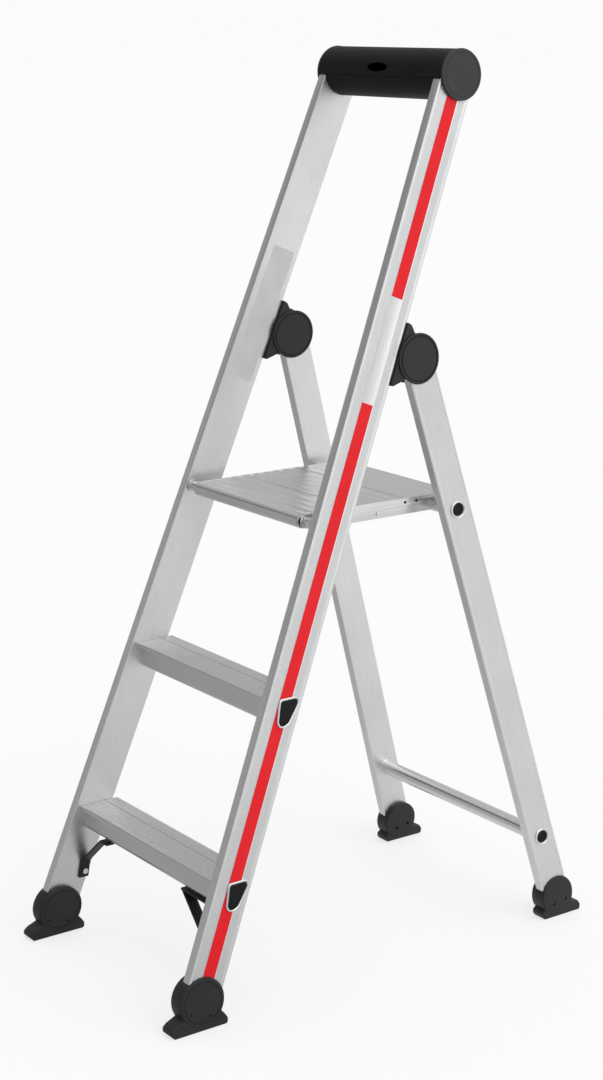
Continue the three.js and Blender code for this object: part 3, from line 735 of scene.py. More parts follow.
def bead(centre_y, level, width, rise, steps=6):
    """A low rounded bead on an outer face."""
    points = []
    for i in range(steps + 1):
        angle = math.pi * i / steps
        points.append((level + rise * math.sin(angle), centre_y - width / 2 * math.cos(angle)))
    return points


def bar_section(thickness, depth, bed=None, corner=1.4, bead_width=3.4):
    """A closed section, anticlockwise: outer face with beads and grooves, plain inner face."""
    outer, half = thickness / 2, depth / 2
    level = outer - 0.55
    inner_side = [(-outer + corner, -half), (outer - 0.55 - corner, -half)]
    front_corner = arc((level - corner, -half + corner), corner, -90, 0, 5)[1:]
    points = inner_side[:1] + front_corner
    points += bead(-half + corner + bead_width / 2, level, bead_width, 0.55)
    first = -half + corner + bead_width + 0.5
    if bed:
        points += grooved(first, bed[0] - 0.6, level)
        points += [(level, bed[0] - 0.5), (level - 0.3, bed[0])]
        points += [(level - 0.3, bed[1]), (level, bed[1] + 0.5)]
        points += grooved(bed[1] + 0.6, -first, level)
    else:
        points += grooved(first, -first, level)
    points += bead(half - corner - bead_width / 2, level, bead_width, 0.55)
    points += arc((level - corner, half - corner), corner, 0, 90, 5)
    points += arc((-outer + corner, half - corner), corner, 90, 180, 5)
    points += arc((-outer + corner, -half + corner), corner, 180, 270, 5)[:-1]
    return points


def plain_section(thickness, depth, corner):
    half_x, half_y = thickness / 2, depth / 2
    return (arc((half_x - corner, -half_y + corner), corner, -90, 0, 4)
            + arc((half_x - corner, half_y - corner), corner, 0, 90, 4)
            + arc((-half_x + corner, half_y - corner), corner, 90, 180, 4)
            + arc((-half_x + corner, -half_y + corner), corner, 180, 270, 4))


# %% Stiles and red film
FILM_FROM, FILM_TO = -10.0, 11.0
STILE_START = 30.0
STILE_WALL = 1.8
stile_end = rail_local[1] + 13.4
stile_section = bar_section(STILE_THICKNESS, STILE_DEPTH, bed=(FILM_FROM, FILM_TO))
stile_hole = plain_section(STILE_THICKNESS - 2 * STILE_WALL - 1.0, STILE_DEPTH - 2 * STILE_WALL - 1.0, 1.0)
stile = drawn_out(stile_section, STILE_START, stile_end, stile_frame, stile_hole)
pair(stile, "stile", "front_frame", stile_metal, "front_stile")

film_level = STILE_THICKNESS / 2 - 0.55 - 0.3
film_section = [(film_level + 0.02, FILM_FROM + 0.3), (film_level + 0.2, FILM_FROM + 0.5),
                (film_level + 0.2, FILM_TO - 0.5), (film_level + 0.02, FILM_TO - 0.3)]
BAND_START, BAND_END = STILE_START + 8, rail_local[1] - 20
BAND_GAP = (917.0, 1073.0)
stretches = {"lower": (BAND_START, BAND_GAP[0]), "upper": (BAND_GAP[1], BAND_END)}
for stretch, (start, end) in stretches.items():
    film = drawn_out(film_section, start, end, stile_frame)
    pair(film, f"red_band_{stretch}", "front_frame", red_film)

LABEL_START, LABEL_END = 912.0, 1120.0
LABEL_FRONT, LABEL_REAR = -18.0, 22.0
label_level = -STILE_THICKNESS / 2 - 0.02
LABEL_CORNER, LABEL_THICKNESS = 3, 0.16
label_corners = [(LABEL_FRONT, LABEL_START), (LABEL_REAR, LABEL_START),
                 (LABEL_REAR, LABEL_END), (LABEL_FRONT, LABEL_END)]
label = pushed(round_corners(label_corners, LABEL_CORNER), label_level - LABEL_THICKNESS, label_level,
               stile_frame)
piece(mirror_image(label), "plain_label", "front_frame", label_film)
label.free()
print("stile section:", len(stile_section), "points")

# %% [markdown]
# ## Rear legs
# The rear legs are slimmer bars of the same kind, with a round top end that turns
# inside the hinge. The bar is drawn out first, and then only what lies inside a
# round-ended outline is kept.

# %% Legs
LEG_START = 20.0
leg_half = LEG_DEPTH / 2
leg_end = leg_hinge_local[1] + leg_half
leg_section = bar_section(LEG_THICKNESS, LEG_DEPTH, corner=1.6, bead_width=2.6)
leg_hole = plain_section(LEG_THICKNESS - 4.4, LEG_DEPTH - 4.4, 1.0)
leg = drawn_out(leg_section, LEG_START, leg_end + 5, leg_frame, leg_hole)
round_top = ([(-leg_half - 5, 0), (leg_half + 5, 0), (leg_half + 5, leg_hinge_local[1])]
             + arc((0, leg_hinge_local[1]), leg_half, 0, 180, 40)
             + [(-leg_half - 5, leg_hinge_local[1])])
leg = trimmed(leg, pushed(round_top, -30, 30, leg_frame), "INTERSECT")
pair(leg, "leg", "rear_frame", leg_metal, "rear_leg")
print("legs from", LEG_START, "to", round(leg_end, 1))

# %% [markdown]
# ## Treads
# Each tread is one extrusion: a flat top with fine ribs and one deeper groove, a
# rounded front lip, a lip at the rear, and a triangular tube below the front. The
# tube runs through both stiles and is flared over their outer faces, which locks
# the tread. So the top plate stops at the stiles, and the tube goes on.

# %% Tread outlines
TREAD_FRONT, TREAD_REAR = -26.0, 43.5
TREAD_PLATE = 3.2
RIB_PITCH = 4.2
RIB_HEIGHT = 0.7
GAP = 0.3


def ribbed_top(start, end, level, pitch=RIB_PITCH, groove=None):
    """Points of a ribbed top from y start back to y end (start is the rear)."""
    count = round(abs(end - start) / pitch)
    step = (end - start) / count
    points = []
    for i in range(count):
        y = start + i * step
        depth = RIB_HEIGHT
        if groove is not None and abs(y + step / 2 - groove) < pitch * 0.75:
            depth = 1.9
        points += [(y, level), (y + 0.5 * step, level), (y + 0.62 * step, level - 0.75 * depth),
                   (y + 0.75 * step, level - depth), (y + 0.88 * step, level - 0.75 * depth)]
    points.append((end, level))
    return points


def tread_outline(centre, top):
    front, rear = centre + TREAD_FRONT, centre + TREAD_REAR
    lip = arc((front + 3.2, top - 3.2), 3.2, 90, 180, 6)
    back = arc((rear - 6, top - 6), 6, 0, 90, 8)
    return ([(front, top - 6.2), (front + 1.2, top - 6.8), (front + 2.6, top - 6.4),
             (front + 3.4, top - TREAD_PLATE), (rear - 6, top - TREAD_PLATE)]
            + arc((rear - 6, top - 6), 6 - TREAD_PLATE, 80, 0, 5)
            + [(rear - TREAD_PLATE, top - 8.5), (rear, top - 8.5)]
            + back[:-1]
            + ribbed_top(rear - 6, front + 3.2, top, groove=centre + 17.5)[:-1]
            + lip)


def web_outline(centre, top):
    return [
        (centre - 17, top - 33), (centre - 14, top - 39), (centre - 7, top - 41.5),
        (centre + 2.5, top - 38.5), (centre + 22, top - 10), (centre + 20.5, top - 2.5),
        (centre + 15.5, top - 0.6), (centre - 9, top - 0.6), (centre - 12, top - 4),
    ]


# %% Treads
STILE_FACE = STILE_THICKNESS / 2


def stile_plane(offset, side=1):
    """Bench x of a plane parallel to a stile's faces, as a function of the side-view place."""
    return lambda place: side * face_x(stile_frame, offset, place)


tread_centres = {name: top * math.tan(STILE_LEAN) for name, top in TREAD_TOPS.items()}
for name, top in TREAD_TOPS.items():
    centre = tread_centres[name]
    plate = pushed(tread_outline(centre, top), stile_plane(-STILE_FACE - GAP, -1),
                   stile_plane(-STILE_FACE - GAP))
    web_points = round_corners(web_outline(centre, top - 0.9), 4, 4)
    web = pushed(web_points, stile_plane(STILE_FACE + 1.1, -1), stile_plane(STILE_FACE + 1.1),
                 holes=(grown(web_points, -2.4)[::-1],))
    tread = joined(plate, web)
    piece(tread, f"tread_{name}", "front_frame", step_metal, (f"tread_{name}",))
print("treads at", TREAD_TOPS)

# %% [markdown]
# ## Rims and beads that follow a path
# Where a tread's tube or a cross tube comes through a stile or leg, its end is
# rolled over into a bright rim. A rim is a small round bead that follows the
# hole's edge, and that is what Geometry Nodes do well: the edge loop becomes a
# curve, and a small circle is swept along it. Its corners are rounded beforehand,
# in the outline. The same tree makes every rim on the ladder, each with its sizes.

# %% Geometry Nodes: a bead along a loop
def bead_tree():
    tree = bpy.data.node_groups.new("bead along a rim", "GeometryNodeTree")
    face = tree.interface
    face.new_socket("Geometry", in_out="INPUT", socket_type="NodeSocketGeometry")
    radius = face.new_socket("Bead Radius", in_out="INPUT", socket_type="NodeSocketFloat")
    sides = face.new_socket("Bead Sides", in_out="INPUT", socket_type="NodeSocketInt")
    finish = face.new_socket("Finish", in_out="INPUT", socket_type="NodeSocketMaterial")
    face.new_socket("Geometry", in_out="OUTPUT", socket_type="NodeSocketGeometry")
    given, result = tree.nodes.new("NodeGroupInput"), tree.nodes.new("NodeGroupOutput")
    curve = tree.nodes.new("GeometryNodeMeshToCurve")
    ring = tree.nodes.new("GeometryNodeCurvePrimitiveCircle")
    sweep = tree.nodes.new("GeometryNodeCurveToMesh")
    real = tree.nodes.new("GeometryNodeRealizeInstances")
    paint = tree.nodes.new("GeometryNodeSetMaterial")
    wire(tree,
         (given, "Geometry", curve, "Mesh"),
         (given, "Bead Radius", ring, "Radius"),
         (given, "Bead Sides", ring, "Resolution"),
         (curve, "Curve", sweep, "Curve"),
         (ring, "Curve", sweep, "Profile Curve"),
         (sweep, "Mesh", real, "Geometry"),
         (real, "Geometry", paint, "Geometry"),
         (given, "Finish", paint, "Material"),
         (paint, "Geometry", result, "Geometry"))
    return tree, {"radius": radius.identifier, "sides": sides.identifier, "finish": finish.identifier}


rim_tree, rim_sockets = bead_tree()


def grow_nodes(base, tree, values, name):
    """The plain mesh that a Geometry Nodes tree makes from base, a mesh in metres."""
    shape = bpy.data.objects.new(name, base)
    bpy.context.scene.collection.objects.link(shape)
    modifier = shape.modifiers.new("nodes", "NODES")
    modifier.node_group = tree
    for socket, value in values.items():
        modifier[socket] = value
    graph = bpy.context.evaluated_depsgraph_get()
    mesh = bpy.data.meshes.new_from_object(shape.evaluated_get(graph))
    shape.modifiers.clear()
    shape.data = mesh
    mesh.name = name
    bpy.data.meshes.remove(base)
    return shape


def loops_mesh(loops):
    """Closed edge loops, given in bench millimetres, as one mesh in metres."""
    points, edges = [], []
    for loop in loops:
        first = len(points)
        points += [to_model @ Vector(p) for p in loop]
        edges += [(first + i, first + (i + 1) % len(loop)) for i in range(len(loop))]
    mesh = bpy.data.meshes.new("loops")
    mesh.from_pydata(points, edges, [])
    return mesh


def rims(loops, name, body, finish, radius, sides=12):
    shape = grow_nodes(loops_mesh(loops), rim_tree,
                       {rim_sockets["radius"]: radius * MM, rim_sockets["sides"]: sides,
                        rim_sockets["finish"]: finish}, name)
    bm = bmesh.new()
    bm.from_mesh(shape.data)
    bmesh.ops.remove_doubles(bm, verts=bm.verts, dist=1e-6)
    bmesh.ops.recalc_face_normals(bm, faces=bm.faces)
    bm.to_mesh(shape.data)
    bm.free()
    settle(shape, body, finish)
    return shape


# %% Rims of the tread tubes
def on_plane(outline, plane):
    return [(plane(p), p[0], p[1]) for p in outline]


RIM_RADIUS = 1.6
tread_loops = []
for name, top in TREAD_TOPS.items():
    rim_outline = grown(round_corners(web_outline(tread_centres[name], top), 5, 5), -0.3)
    for side in (1, -1):
        tread_loops.append(on_plane(rim_outline, stile_plane(STILE_FACE + 0.5, side)))
rims(tread_loops, "tread_rims", "front_frame", tube_metal, RIM_RADIUS)

# %% Plugs of the tread tubes
for name, top in TREAD_TOPS.items():
    edge = round_corners(grown(web_outline(tread_centres[name], top), -1.8), 4, 5)
    plug = pushed(edge, stile_plane(STILE_FACE - 5), stile_plane(STILE_FACE + 1.2))
    softened(plug, 0.7)
    pair(plug, f"tread_plug_{name}", "front_frame", rail_plastic, f"tread_plug_{name}")
print("rims and plugs made")

# %% [markdown]
# ## Hand rail
# The rail is a round plastic sleeve in two half shells, clamped round the tops of
# the stiles. The seam between them runs along the front, a little below the
# middle, and dips in a gentle wave. An oval window opens in the upper shell.
# The shells are laid out as a grid of angle against length, so the seam can be
# any curve, and the window is cut through afterwards.

# %% Rail shells
RAIL_RADIUS, RAIL_WALL = 36.4, 3.0
RAIL_HALF_LENGTH = 143.2
SEAM_ANGLE = 186.0
SEAM_DIP = 3.0


def seam_angle(x):
    """Angle of the front seam, in degrees, from +y: it dips near the middle of the rail."""
    return SEAM_ANGLE + SEAM_DIP * math.exp(-((x - 4) / 44) ** 2)


def rail_shell(start, end, length_steps=96, round_steps=48):
    """A half shell between two angles, each a function of x. Its seams are V grooves, closed inside."""
    bm = bmesh.new()
    layers = []
    for radius, gap in ((RAIL_RADIUS, SEAM_GAP), (RAIL_RADIUS - RAIL_WALL, 0)):
        grid = []
        for i in range(length_steps + 1):
            t = 2 * i / length_steps - 1
            row = []
            for k in range(round_steps + 1):
                x = t * RAIL_HALF_LENGTH
                first, last = start(x) + gap, end(x) - gap
                angle = math.radians(first + (last - first) * k / round_steps)
                row.append(bm.verts.new((x, RAIL[0] + radius * math.cos(angle),
                                         RAIL[1] + radius * math.sin(angle))))
            grid.append(row)
        layers.append(grid)
    outer, inner = layers
    for grid in layers:
        for i in range(length_steps):
            for k in range(round_steps):
                bm.faces.new((grid[i][k], grid[i][k + 1], grid[i + 1][k + 1], grid[i + 1][k]))
    for i in range(length_steps):
        for k in (0, round_steps):
            bm.faces.new((outer[i][k], outer[i + 1][k], inner[i + 1][k], inner[i][k]))
    for k in range(round_steps):
        for i in (0, length_steps):
            bm.faces.new((outer[i][k], outer[i][k + 1], inner[i][k + 1], inner[i][k]))
    bmesh.ops.recalc_face_normals(bm, faces=bm.faces)
    return bm


SEAM_GAP = 0.45
top_shell = rail_shell(lambda x: 0, seam_angle)
bottom_shell = rail_shell(seam_angle, lambda x: 360)
notch = turned([(0, 18), (7, 18), (7, 33), (0, 33)], (RAIL[0] - 4, RAIL[1] - 41.2), steps=40)
bottom_shell = trimmed(bottom_shell, notch)

# %% Rail window and end caps
WINDOW_LENGTH, WINDOW_HEIGHT = 48.0, 13.0
WINDOW_MIDDLE = -3.0
WINDOW_ANGLE = 166.0
window = [(WINDOW_LENGTH / 2 * a, WINDOW_HEIGHT / 2 * b) for a, b in arc((0, 0), 1, 0, 360, 40)[:-1]]
aim = math.radians(WINDOW_ANGLE)
out = Vector((0, math.cos(aim), math.sin(aim)))
upward = Vector((0, math.sin(aim), -math.cos(aim)))
look = Matrix((out, Vector((1, 0, 0)), upward)).transposed().to_4x4()
look.translation = (WINDOW_MIDDLE, RAIL[0], RAIL[1])
top_shell = trimmed(top_shell, pushed(window, 20, 60, look))
piece(top_shell, "rail_top", "front_frame", rail_plastic, ("handle_top_shell",))
piece(bottom_shell, "rail_bottom", "front_frame", rail_plastic, ("handle_bottom_shell",))

cap_start = STILE_FACE + GAP
cap_half_section = [
    (0, cap_start), (34, cap_start), (36.2, cap_start + 0.4), (36.6, cap_start + 1.2),
    (36.6, cap_start + 3.6), (36.0, cap_start + 4.6), (34.6, cap_start + 5.1), (32.4, cap_start + 5.1),
    (31.8, cap_start + 4.5), (30.8, cap_start + 4.5), (30.2, cap_start + 5.1), (20, cap_start + 5.25),
    (10, cap_start + 5.3), (0, cap_start + 5.32),
]
end_cap = turned(cap_half_section, rail_local, stile_frame, steps=96)
pair(end_cap, "rail_cap", "front_frame", cap_plastic, "handle_end_cap")
print("hand rail made")

# %% [markdown]
# ## Hinges
# Each hinge is a black moulded housing on the stile's rear edge. Two cheeks stand
# either side of the leg, each with pointed ears that hug the stile, and a round
# cover with a ring near its edge hides the pin. Cheeks are flat outlines with
# softened edges; covers are turned.

# %% Hinge housings
CHEEK_RADIUS, COVER_RADIUS = 34.0, 37.0
CHEEK_THICKNESS = 2.4
CHEEK_OUTER, CHEEK_INNER = 8.9, -10.7
ear_back = STILE_DEPTH / 2 + GAP - hinge_local[0]


def about_hinge(points):
    return [(hinge_local[0] + a, hinge_local[1] + b) for a, b in points]


cheek_outline = about_hinge(
    [(ear_back, -50.5), (-31, -50), (-26, -46)]
    + arc((0, 0), CHEEK_RADIUS, -107, 118, 40)
    + [(-22, 36), (-28, 41.5), (ear_back, 43)]
)
bridge_outline = about_hinge([
    (ear_back, -50.5), (-31, -50), (-22.5, -40), (-22.5, 36), (-28, 41.5), (ear_back, 43),
])
cheeks = []
for start in (CHEEK_OUTER, CHEEK_INNER - CHEEK_THICKNESS):
    cheeks.append(softened(pushed(cheek_outline, start, start + CHEEK_THICKNESS, stile_frame), 0.6))
bridge = pushed(bridge_outline, CHEEK_INNER - 0.5, CHEEK_OUTER + 0.5, stile_frame)
housing = joined(*cheeks, softened(bridge, 0.5))
pair(housing, "hinge_housing", "front_frame", black_plastic, "hinge_housing")


# %% Hinge covers
def cover_half_section(base, direction):
    """A disc with a raised ring groove, from its base plane outwards."""
    steps = [(0, 0), (COVER_RADIUS - 0.8, 0), (COVER_RADIUS, 0.7), (COVER_RADIUS, 1.3),
             (COVER_RADIUS - 0.9, 2.2), (COVER_RADIUS - 3.4, 2.3), (COVER_RADIUS - 4.0, 0.9),
             (COVER_RADIUS - 5.0, 0.9), (COVER_RADIUS - 5.6, 2.2), (16, 2.35), (0, 2.4)]
    return [(radius, base + direction * rise) for radius, rise in steps]


outer_base = CHEEK_OUTER + CHEEK_THICKNESS + GAP
outer_cover = turned(cover_half_section(outer_base, 1), hinge_local, stile_frame, 96)
pair(outer_cover, "hinge_cover_outer", "front_frame", black_plastic, "hinge_cover_outer")
inner_base = CHEEK_INNER - CHEEK_THICKNESS - GAP
inner_half_section = [(r, inner_base - (x - inner_base) * 0.8)
                      for r, x in cover_half_section(inner_base, 1)]
inner_cover = turned(inner_half_section, hinge_local, stile_frame, 96)
pair(inner_cover, "hinge_cover_inner", "front_frame", black_plastic, "hinge_cover_inner")
print("hinges made")

# %% [markdown]
# ## Feet
# The feet are moulded boots that close round the ends of the profiles. From the
# side a foot is a round boss that stands on a flat sole with a short toe and heel.
# A disc with two small holes marks each face of the boss, and only the front
# discs carry a ring. The boot is a softened outline, sheared to follow the lean.


# %% Foot shapes
FOOT_INNER, FOOT_OUTER = 187.0, 215.2


def lean_in(bm, narrowing):
    for vertex in bm.verts:
        vertex.co.x -= narrowing * vertex.co.z
    return bm


def boss_disc(radius, ringed):
    """Half section of the disc on a boss: radius, and rise above the boot's face."""
    groove = 0.86 * radius
    steps = [(0, 0), (radius - 0.4, 0), (radius, 0.5), (radius - 0.8, 1.5)]
    if ringed:
        steps += [(groove + 0.7, 1.5), (groove + 0.3, 0.7), (groove - 0.5, 0.7), (groove - 1.0, 1.5)]
    return steps + [(groove - 8, 1.6), (0, 1.7)]


def boot(outline, narrowing, boss, boss_radius, holes, hole_radius, ringed, soft=1.4):
    """A boot with a disc on each face of its boss, and small blind holes through both faces' skins."""
    shell = softened(pushed(outline, FOOT_INNER + 1.2, FOOT_OUTER - 1.2), soft)
    for base, direction in ((FOOT_OUTER - 1.5, 1), (FOOT_INNER + 1.5, -1)):
        disc = [(r, base + direction * x) for r, x in boss_disc(boss_radius, ringed)]
        shell = trimmed(shell, turned(disc, boss, steps=96), "UNION")
        for place in holes:
            drill = [(0, -3), (hole_radius, -3), (hole_radius, 1.2), (hole_radius + 1.2, 3), (0, 3)]
            shell = trimmed(shell, turned([(r, base + direction * x) for r, x in drill], place, steps=24))
    return lean_in(shell, narrowing)


def foot_outline(centre, radius, toe, sole_front, sole_rear, heel):
    return ([(sole_front, 0), (sole_rear, 0), (heel, 3), (heel, 9), (heel - 4, 15)]
            + arc(centre, radius, -32, 212, 48)
            + [(toe + 6, 16), (toe, 11), (toe, 5)])


# %% Front feet
front_boss = (42 * math.tan(STILE_LEAN), 42)
front_boot = boot(foot_outline(front_boss, 36.8, -36, -31, 56, 58), STILE_NARROWING, front_boss, 35.6,
                  [(-3.4, 29.0), (26.6, 20.0)], 1.5, True)
pair(front_boot, "front_foot", "front_frame", black_plastic, "front_foot")

# %% Rear feet
rear_boss = (LEG_FOOT_Y - 34 * math.tan(LEG_LEAN), 34)
rear_boot = boot(foot_outline(rear_boss, 32, 657, 661, 733, 735), LEG_NARROWING, rear_boss, 30.8,
                 [(679, 22), (702, 26)], 2.5, False)
pair(rear_boot, "rear_foot", "rear_frame", black_plastic, "rear_foot")
print("feet made")

# %% [markdown]
# ## Cross tubes
# Two round tubes tie the rear legs together. Their ends come through the legs and
# are rolled over into a bright ring, and a black plug closes each end. The upper
# tube also carries the platform's rear edge.

# %% Tubes, rings and plugs
LEG_FACE = LEG_THICKNESS / 2
TUBE_RADIUS, TUBE_WALL = 12.0, 1.6
tube_loops = []
for height, place in TUBES.items():
    reach = face_x(leg_frame, LEG_FACE + 0.6, place)
    bore = TUBE_RADIUS - TUBE_WALL
    section = [(TUBE_RADIUS, -reach), (TUBE_RADIUS, reach), (bore, reach), (bore, -reach)]
    piece(turned(section, place), f"cross_tube_{height}", "rear_frame", tube_metal,
          (f"rear_tube_{height}",))
    ring = arc(place, TUBE_RADIUS + 0.4, 0, 360, 72)[:-1]
    for side in (1, -1):
        for offset in (LEG_FACE + 0.1, -LEG_FACE - 0.1):
            tube_loops.append([(side * face_x(leg_frame, offset, p), p[0], p[1]) for p in ring])
    outer = face_x(leg_frame, LEG_FACE + 0.9, place)
    plug = turned([(0, outer - 6), (9.9, outer - 6), (9.9, outer - 0.6), (9.3, outer), (6.4, outer + 0.1),
                   (5.8, outer - 0.7), (0, outer - 0.9)], place, steps=48)
    pair(plug, f"tube_plug_{height}", "rear_frame", rail_plastic, f"tube_plug_{height}")
rims(tube_loops, "tube_rims", "rear_frame", tube_metal, 1.5)
print("cross tubes made")

# %% [markdown]
# ## Platform
# Three boards with broad shallow waves on top lie side by side between two upright
# side plates. The front board ends in a round hollow nose, and the pivot bolts
# start inside it. The side plates hook over the upper cross tube with an open
# saddle, which lets go as the ladder folds. Rivets fix the plates to the boards.

# %% Boards
BOARD_HALF = 132.7
BOARD_PLATE = 3.0
BOARD_DROP = 15.0
SEAMS = (331.0, 427.0)
PLATFORM_REAR = 521.0
NOSE_RADIUS = 10.5
NOSE = (246.5, PLATFORM_TOP - NOSE_RADIUS)
WAVE_PITCH = 19.2
WAVE_DEPTH = 1.3


def waved_top(start, end, level, steps=8):
    """The deck's top from y start back to y end: broad shallow waves that keep shoes from slipping."""
    count = round(abs(end - start) / WAVE_PITCH)
    points = []
    for i in range(count * steps + 1):
        turn = 2 * math.pi * i / steps
        points.append((start + (end - start) * i / (count * steps),
                       level - WAVE_DEPTH * (1 - math.cos(turn)) / 2))
    return points


def channel_outline(front, rear):
    top, low, under = PLATFORM_TOP, PLATFORM_TOP - BOARD_DROP, PLATFORM_TOP - BOARD_PLATE
    return ([(front, low), (front + BOARD_PLATE, low), (front + BOARD_PLATE, under),
             (rear - BOARD_PLATE, under), (rear - BOARD_PLATE, low), (rear, low), (rear, top - 1.2)]
            + waved_top(rear - 0.8, front + 0.8, top)
            + [(front, top - 1.2)])


def nose_outline():
    top, low, under = PLATFORM_TOP, PLATFORM_TOP - BOARD_DROP, PLATFORM_TOP - BOARD_PLATE
    rear = SEAMS[0] - 0.6
    return ([(266, PLATFORM_TOP - 21), (266, under), (rear - BOARD_PLATE, under), (rear - BOARD_PLATE, low),
             (rear, low), (rear, top - 1.2)]
            + waved_top(rear - 0.8, NOSE[0] + 4, top)
            + arc(NOSE, NOSE_RADIUS, 90, 270, 28))


nose_hole = ([(263, NOSE[1] - 7.5), (263, NOSE[1] + 7.5)]
             + arc(NOSE, NOSE_RADIUS - 3, 90, 270, 20))
front_board = pushed(nose_outline(), -BOARD_HALF, BOARD_HALF, holes=(nose_hole,))
piece(front_board, "deck_front", "platform", step_metal, ("platform_front_board",))
middle_board = pushed(channel_outline(SEAMS[0], SEAMS[1] - 0.6), -BOARD_HALF, BOARD_HALF)
piece(middle_board, "deck_middle", "platform", step_metal, ("platform_middle_board",))
rear_board = pushed(channel_outline(SEAMS[1], PLATFORM_REAR), -BOARD_HALF, BOARD_HALF)
piece(rear_board, "deck_rear", "platform", step_metal, ("platform_rear_board",))

# %% Side plates
PLATE_INNER, PLATE_OUTER = 133.0, 136.0
PLATE_LOW = 674.3
upper_tube = TUBES["upper"]
saddle = arc(upper_tube, TUBE_RADIUS + 0.5, 150, 0, 24)
plate_outline = (
    arc(PIVOT, 10.4, 90, 270, 20)
    + [(262, PLATE_LOW), (480.5, PLATE_LOW)]
    + saddle
    + [(upper_tube[0] + TUBE_RADIUS + 0.5, 672), (513.5, 669.6), (519, 669.6), (521, 672),
       (521, PLATFORM_TOP - 7), (515.5, PLATFORM_TOP - 0.4)]
)
pair(softened(pushed(plate_outline, PLATE_INNER, PLATE_OUTER), 0.6), "side_plate", "platform",
     plate_metal, "platform_side_plate")
print("platform made")

# %% [markdown]
# ## Fasteners
# Rivet heads repeat, so one Geometry Nodes tree places them: each point of a small
# mesh gets a domed head on a thin flange. The head's radius and rise are inputs.
# The pivot bolts, spacers and washers are turned, and the nuts are pushed hexagons.

# %% Geometry Nodes: domed heads on points
def rivet_tree():
    tree = bpy.data.node_groups.new("domed heads", "GeometryNodeTree")
    face = tree.interface
    face.new_socket("Geometry", in_out="INPUT", socket_type="NodeSocketGeometry")
    radius = face.new_socket("Head Radius", in_out="INPUT", socket_type="NodeSocketFloat")
    rise = face.new_socket("Dome Rise", in_out="INPUT", socket_type="NodeSocketFloat")
    finish = face.new_socket("Finish", in_out="INPUT", socket_type="NodeSocketMaterial")
    face.new_socket("Geometry", in_out="OUTPUT", socket_type="NodeSocketGeometry")
    given, result = tree.nodes.new("NodeGroupInput"), tree.nodes.new("NodeGroupOutput")
    ball = new_node(tree, "GeometryNodeMeshUVSphere")
    ball.inputs["Segments"].default_value = 24
    ball.inputs["Rings"].default_value = 12
    flange = new_node(tree, "GeometryNodeMeshCylinder")
    flange.inputs["Vertices"].default_value = 24
    wide = new_node(tree, "ShaderNodeMath", operation="MULTIPLY")
    wide.inputs[1].default_value = 1.25
    thin = new_node(tree, "ShaderNodeMath", operation="MULTIPLY")
    thin.inputs[1].default_value = 0.7
    squash = new_node(tree, "ShaderNodeCombineXYZ")
    squash.inputs["X"].default_value = 1.0
    squash.inputs["Y"].default_value = 1.0
    flat = new_node(tree, "GeometryNodeTransform")
    both = new_node(tree, "GeometryNodeJoinGeometry")
    sideways = new_node(tree, "GeometryNodeTransform")
    sideways.inputs["Rotation"].default_value = (0, math.radians(90), 0)
    place = new_node(tree, "GeometryNodeInstanceOnPoints")
    real = new_node(tree, "GeometryNodeRealizeInstances")
    paint = new_node(tree, "GeometryNodeSetMaterial")
    wire(tree,
         (given, "Head Radius", ball, "Radius"),
         (given, "Head Radius", wide, 0),
         (wide, "Value", flange, "Radius"),
         (given, "Head Radius", thin, 0),
         (thin, "Value", flange, "Depth"),
         (given, "Dome Rise", squash, "Z"),
         (ball, "Mesh", flat, "Geometry"),
         (squash, "Vector", flat, "Scale"),
         (flat, "Geometry", both, "Geometry"),
         (flange, "Mesh", both, "Geometry"),
         (both, "Geometry", sideways, "Geometry"),
         (given, "Geometry", place, "Points"),
         (sideways, "Geometry", place, "Instance"),
         (place, "Instances", real, "Geometry"),
         (real, "Geometry", paint, "Geometry"),
         (given, "Finish", paint, "Material"),
         (paint, "Geometry", result, "Geometry"))
    return tree, [radius.identifier, rise.identifier, finish.identifier]


heads_tree, head_sockets = rivet_tree()


def heads(points, name, body, finish, radius, rise, nodes=()):
    mesh = bpy.data.meshes.new("points")
    mesh.from_pydata([to_model @ Vector(p) for p in points], [], [])
    values = dict(zip(head_sockets, (radius * MM, rise, finish)))
    shape = grow_nodes(mesh, heads_tree, values, name)
    settle(shape, body, finish, nodes)
    return shape


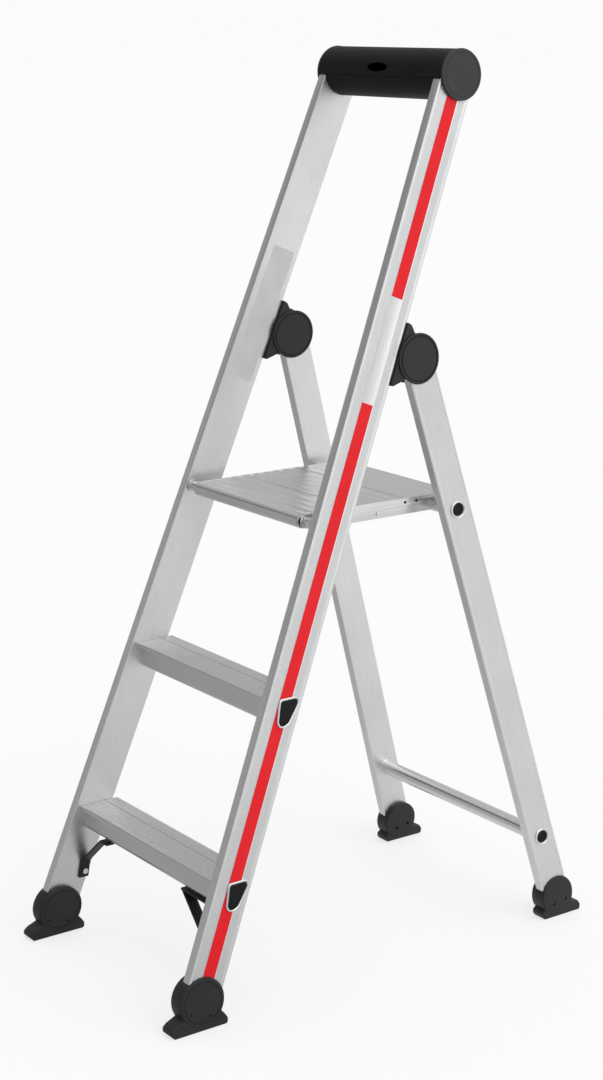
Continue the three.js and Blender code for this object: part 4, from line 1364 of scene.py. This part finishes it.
# %% Rivets of the side plates
big_rivet = middle_of("platform_rivet_1_right")
small_rivets = [middle_of(f"platform_rivet_{i}_right") for i in (2, 3)]
heads([(side * PLATE_OUTER, *big_rivet) for side in (1, -1)], "plate_rivets", "platform",
      zinc, 3.6, 0.45, [f"platform_rivet_1_{side}" for side in ("right", "left")])
heads([(side * PLATE_OUTER, *place) for side in (1, -1) for place in small_rivets], "plate_pins",
      "platform", brace_paint, 1.7, 0.4,
      [f"platform_rivet_{i}_{side}" for i in (2, 3) for side in ("right", "left")])

# %% Pivot bolts, spacers, nuts and washers
BOLT = [(0, 127), (5.4, 127), (6.4, 127.9), (6.4, 132.6), (4, 132.7), (4, 160), (0, 160)]
SPACER = [(4.3, 136.5), (6.6, 136.5), (7.2, 137), (7.2, 150), (6.6, 150.5), (4.3, 150.5)]
WASHER = [(4.3, 156.7), (9.5, 156.7), (10, 157.1), (10, 157.8), (9.5, 158.1), (4.3, 158.1)]
NUT_RADIUS, NUT_BORE = 8, 4.2
NUT_FROM, NUT_TO = 150.8, 156.4

pair(turned(BOLT, PIVOT, steps=40), "pivot_bolt", "front_frame", zinc,
     "platform_pivot_bolt")
pair(turned(SPACER, PIVOT, steps=48), "pivot_spacer", "front_frame", zinc,
     "platform_pivot_spacer")
hexagon = arc(PIVOT, NUT_RADIUS, 0, 360, 6)[:-1]
bore = arc(PIVOT, NUT_BORE, 0, 360, 24)[:-1]
nut = softened(pushed(hexagon, NUT_FROM, NUT_TO, holes=(bore[::-1],)), 0.5, angle=40)
pair(nut, "pivot_nut", "front_frame", zinc, "platform_pivot_nut")
pair(turned(WASHER, PIVOT, steps=48), "pivot_washer", "front_frame", zinc,
     "platform_pivot_washer")

# %% [markdown]
# ## Braces
# Two black steel strips stiffen the lower tread. Each is bent twice: a tab flat on
# the stile's inner face, a sloping middle, and a flange under the tread. The CAD
# shape is right, so its solid stays, and only a little finish is added.

# %% Finishes for the CAD parts that stay
for side in ("right", "left"):
    for node, finish in ((f"brace_{side}", brace_paint), (f"brace_screw_{side}", zinc),
                         (f"hinge_pin_{side}", zinc)):
        materials = frame["nodes"][node].data.materials
        materials.clear()
        materials.append(finish)
print("pieces made:", len(made))
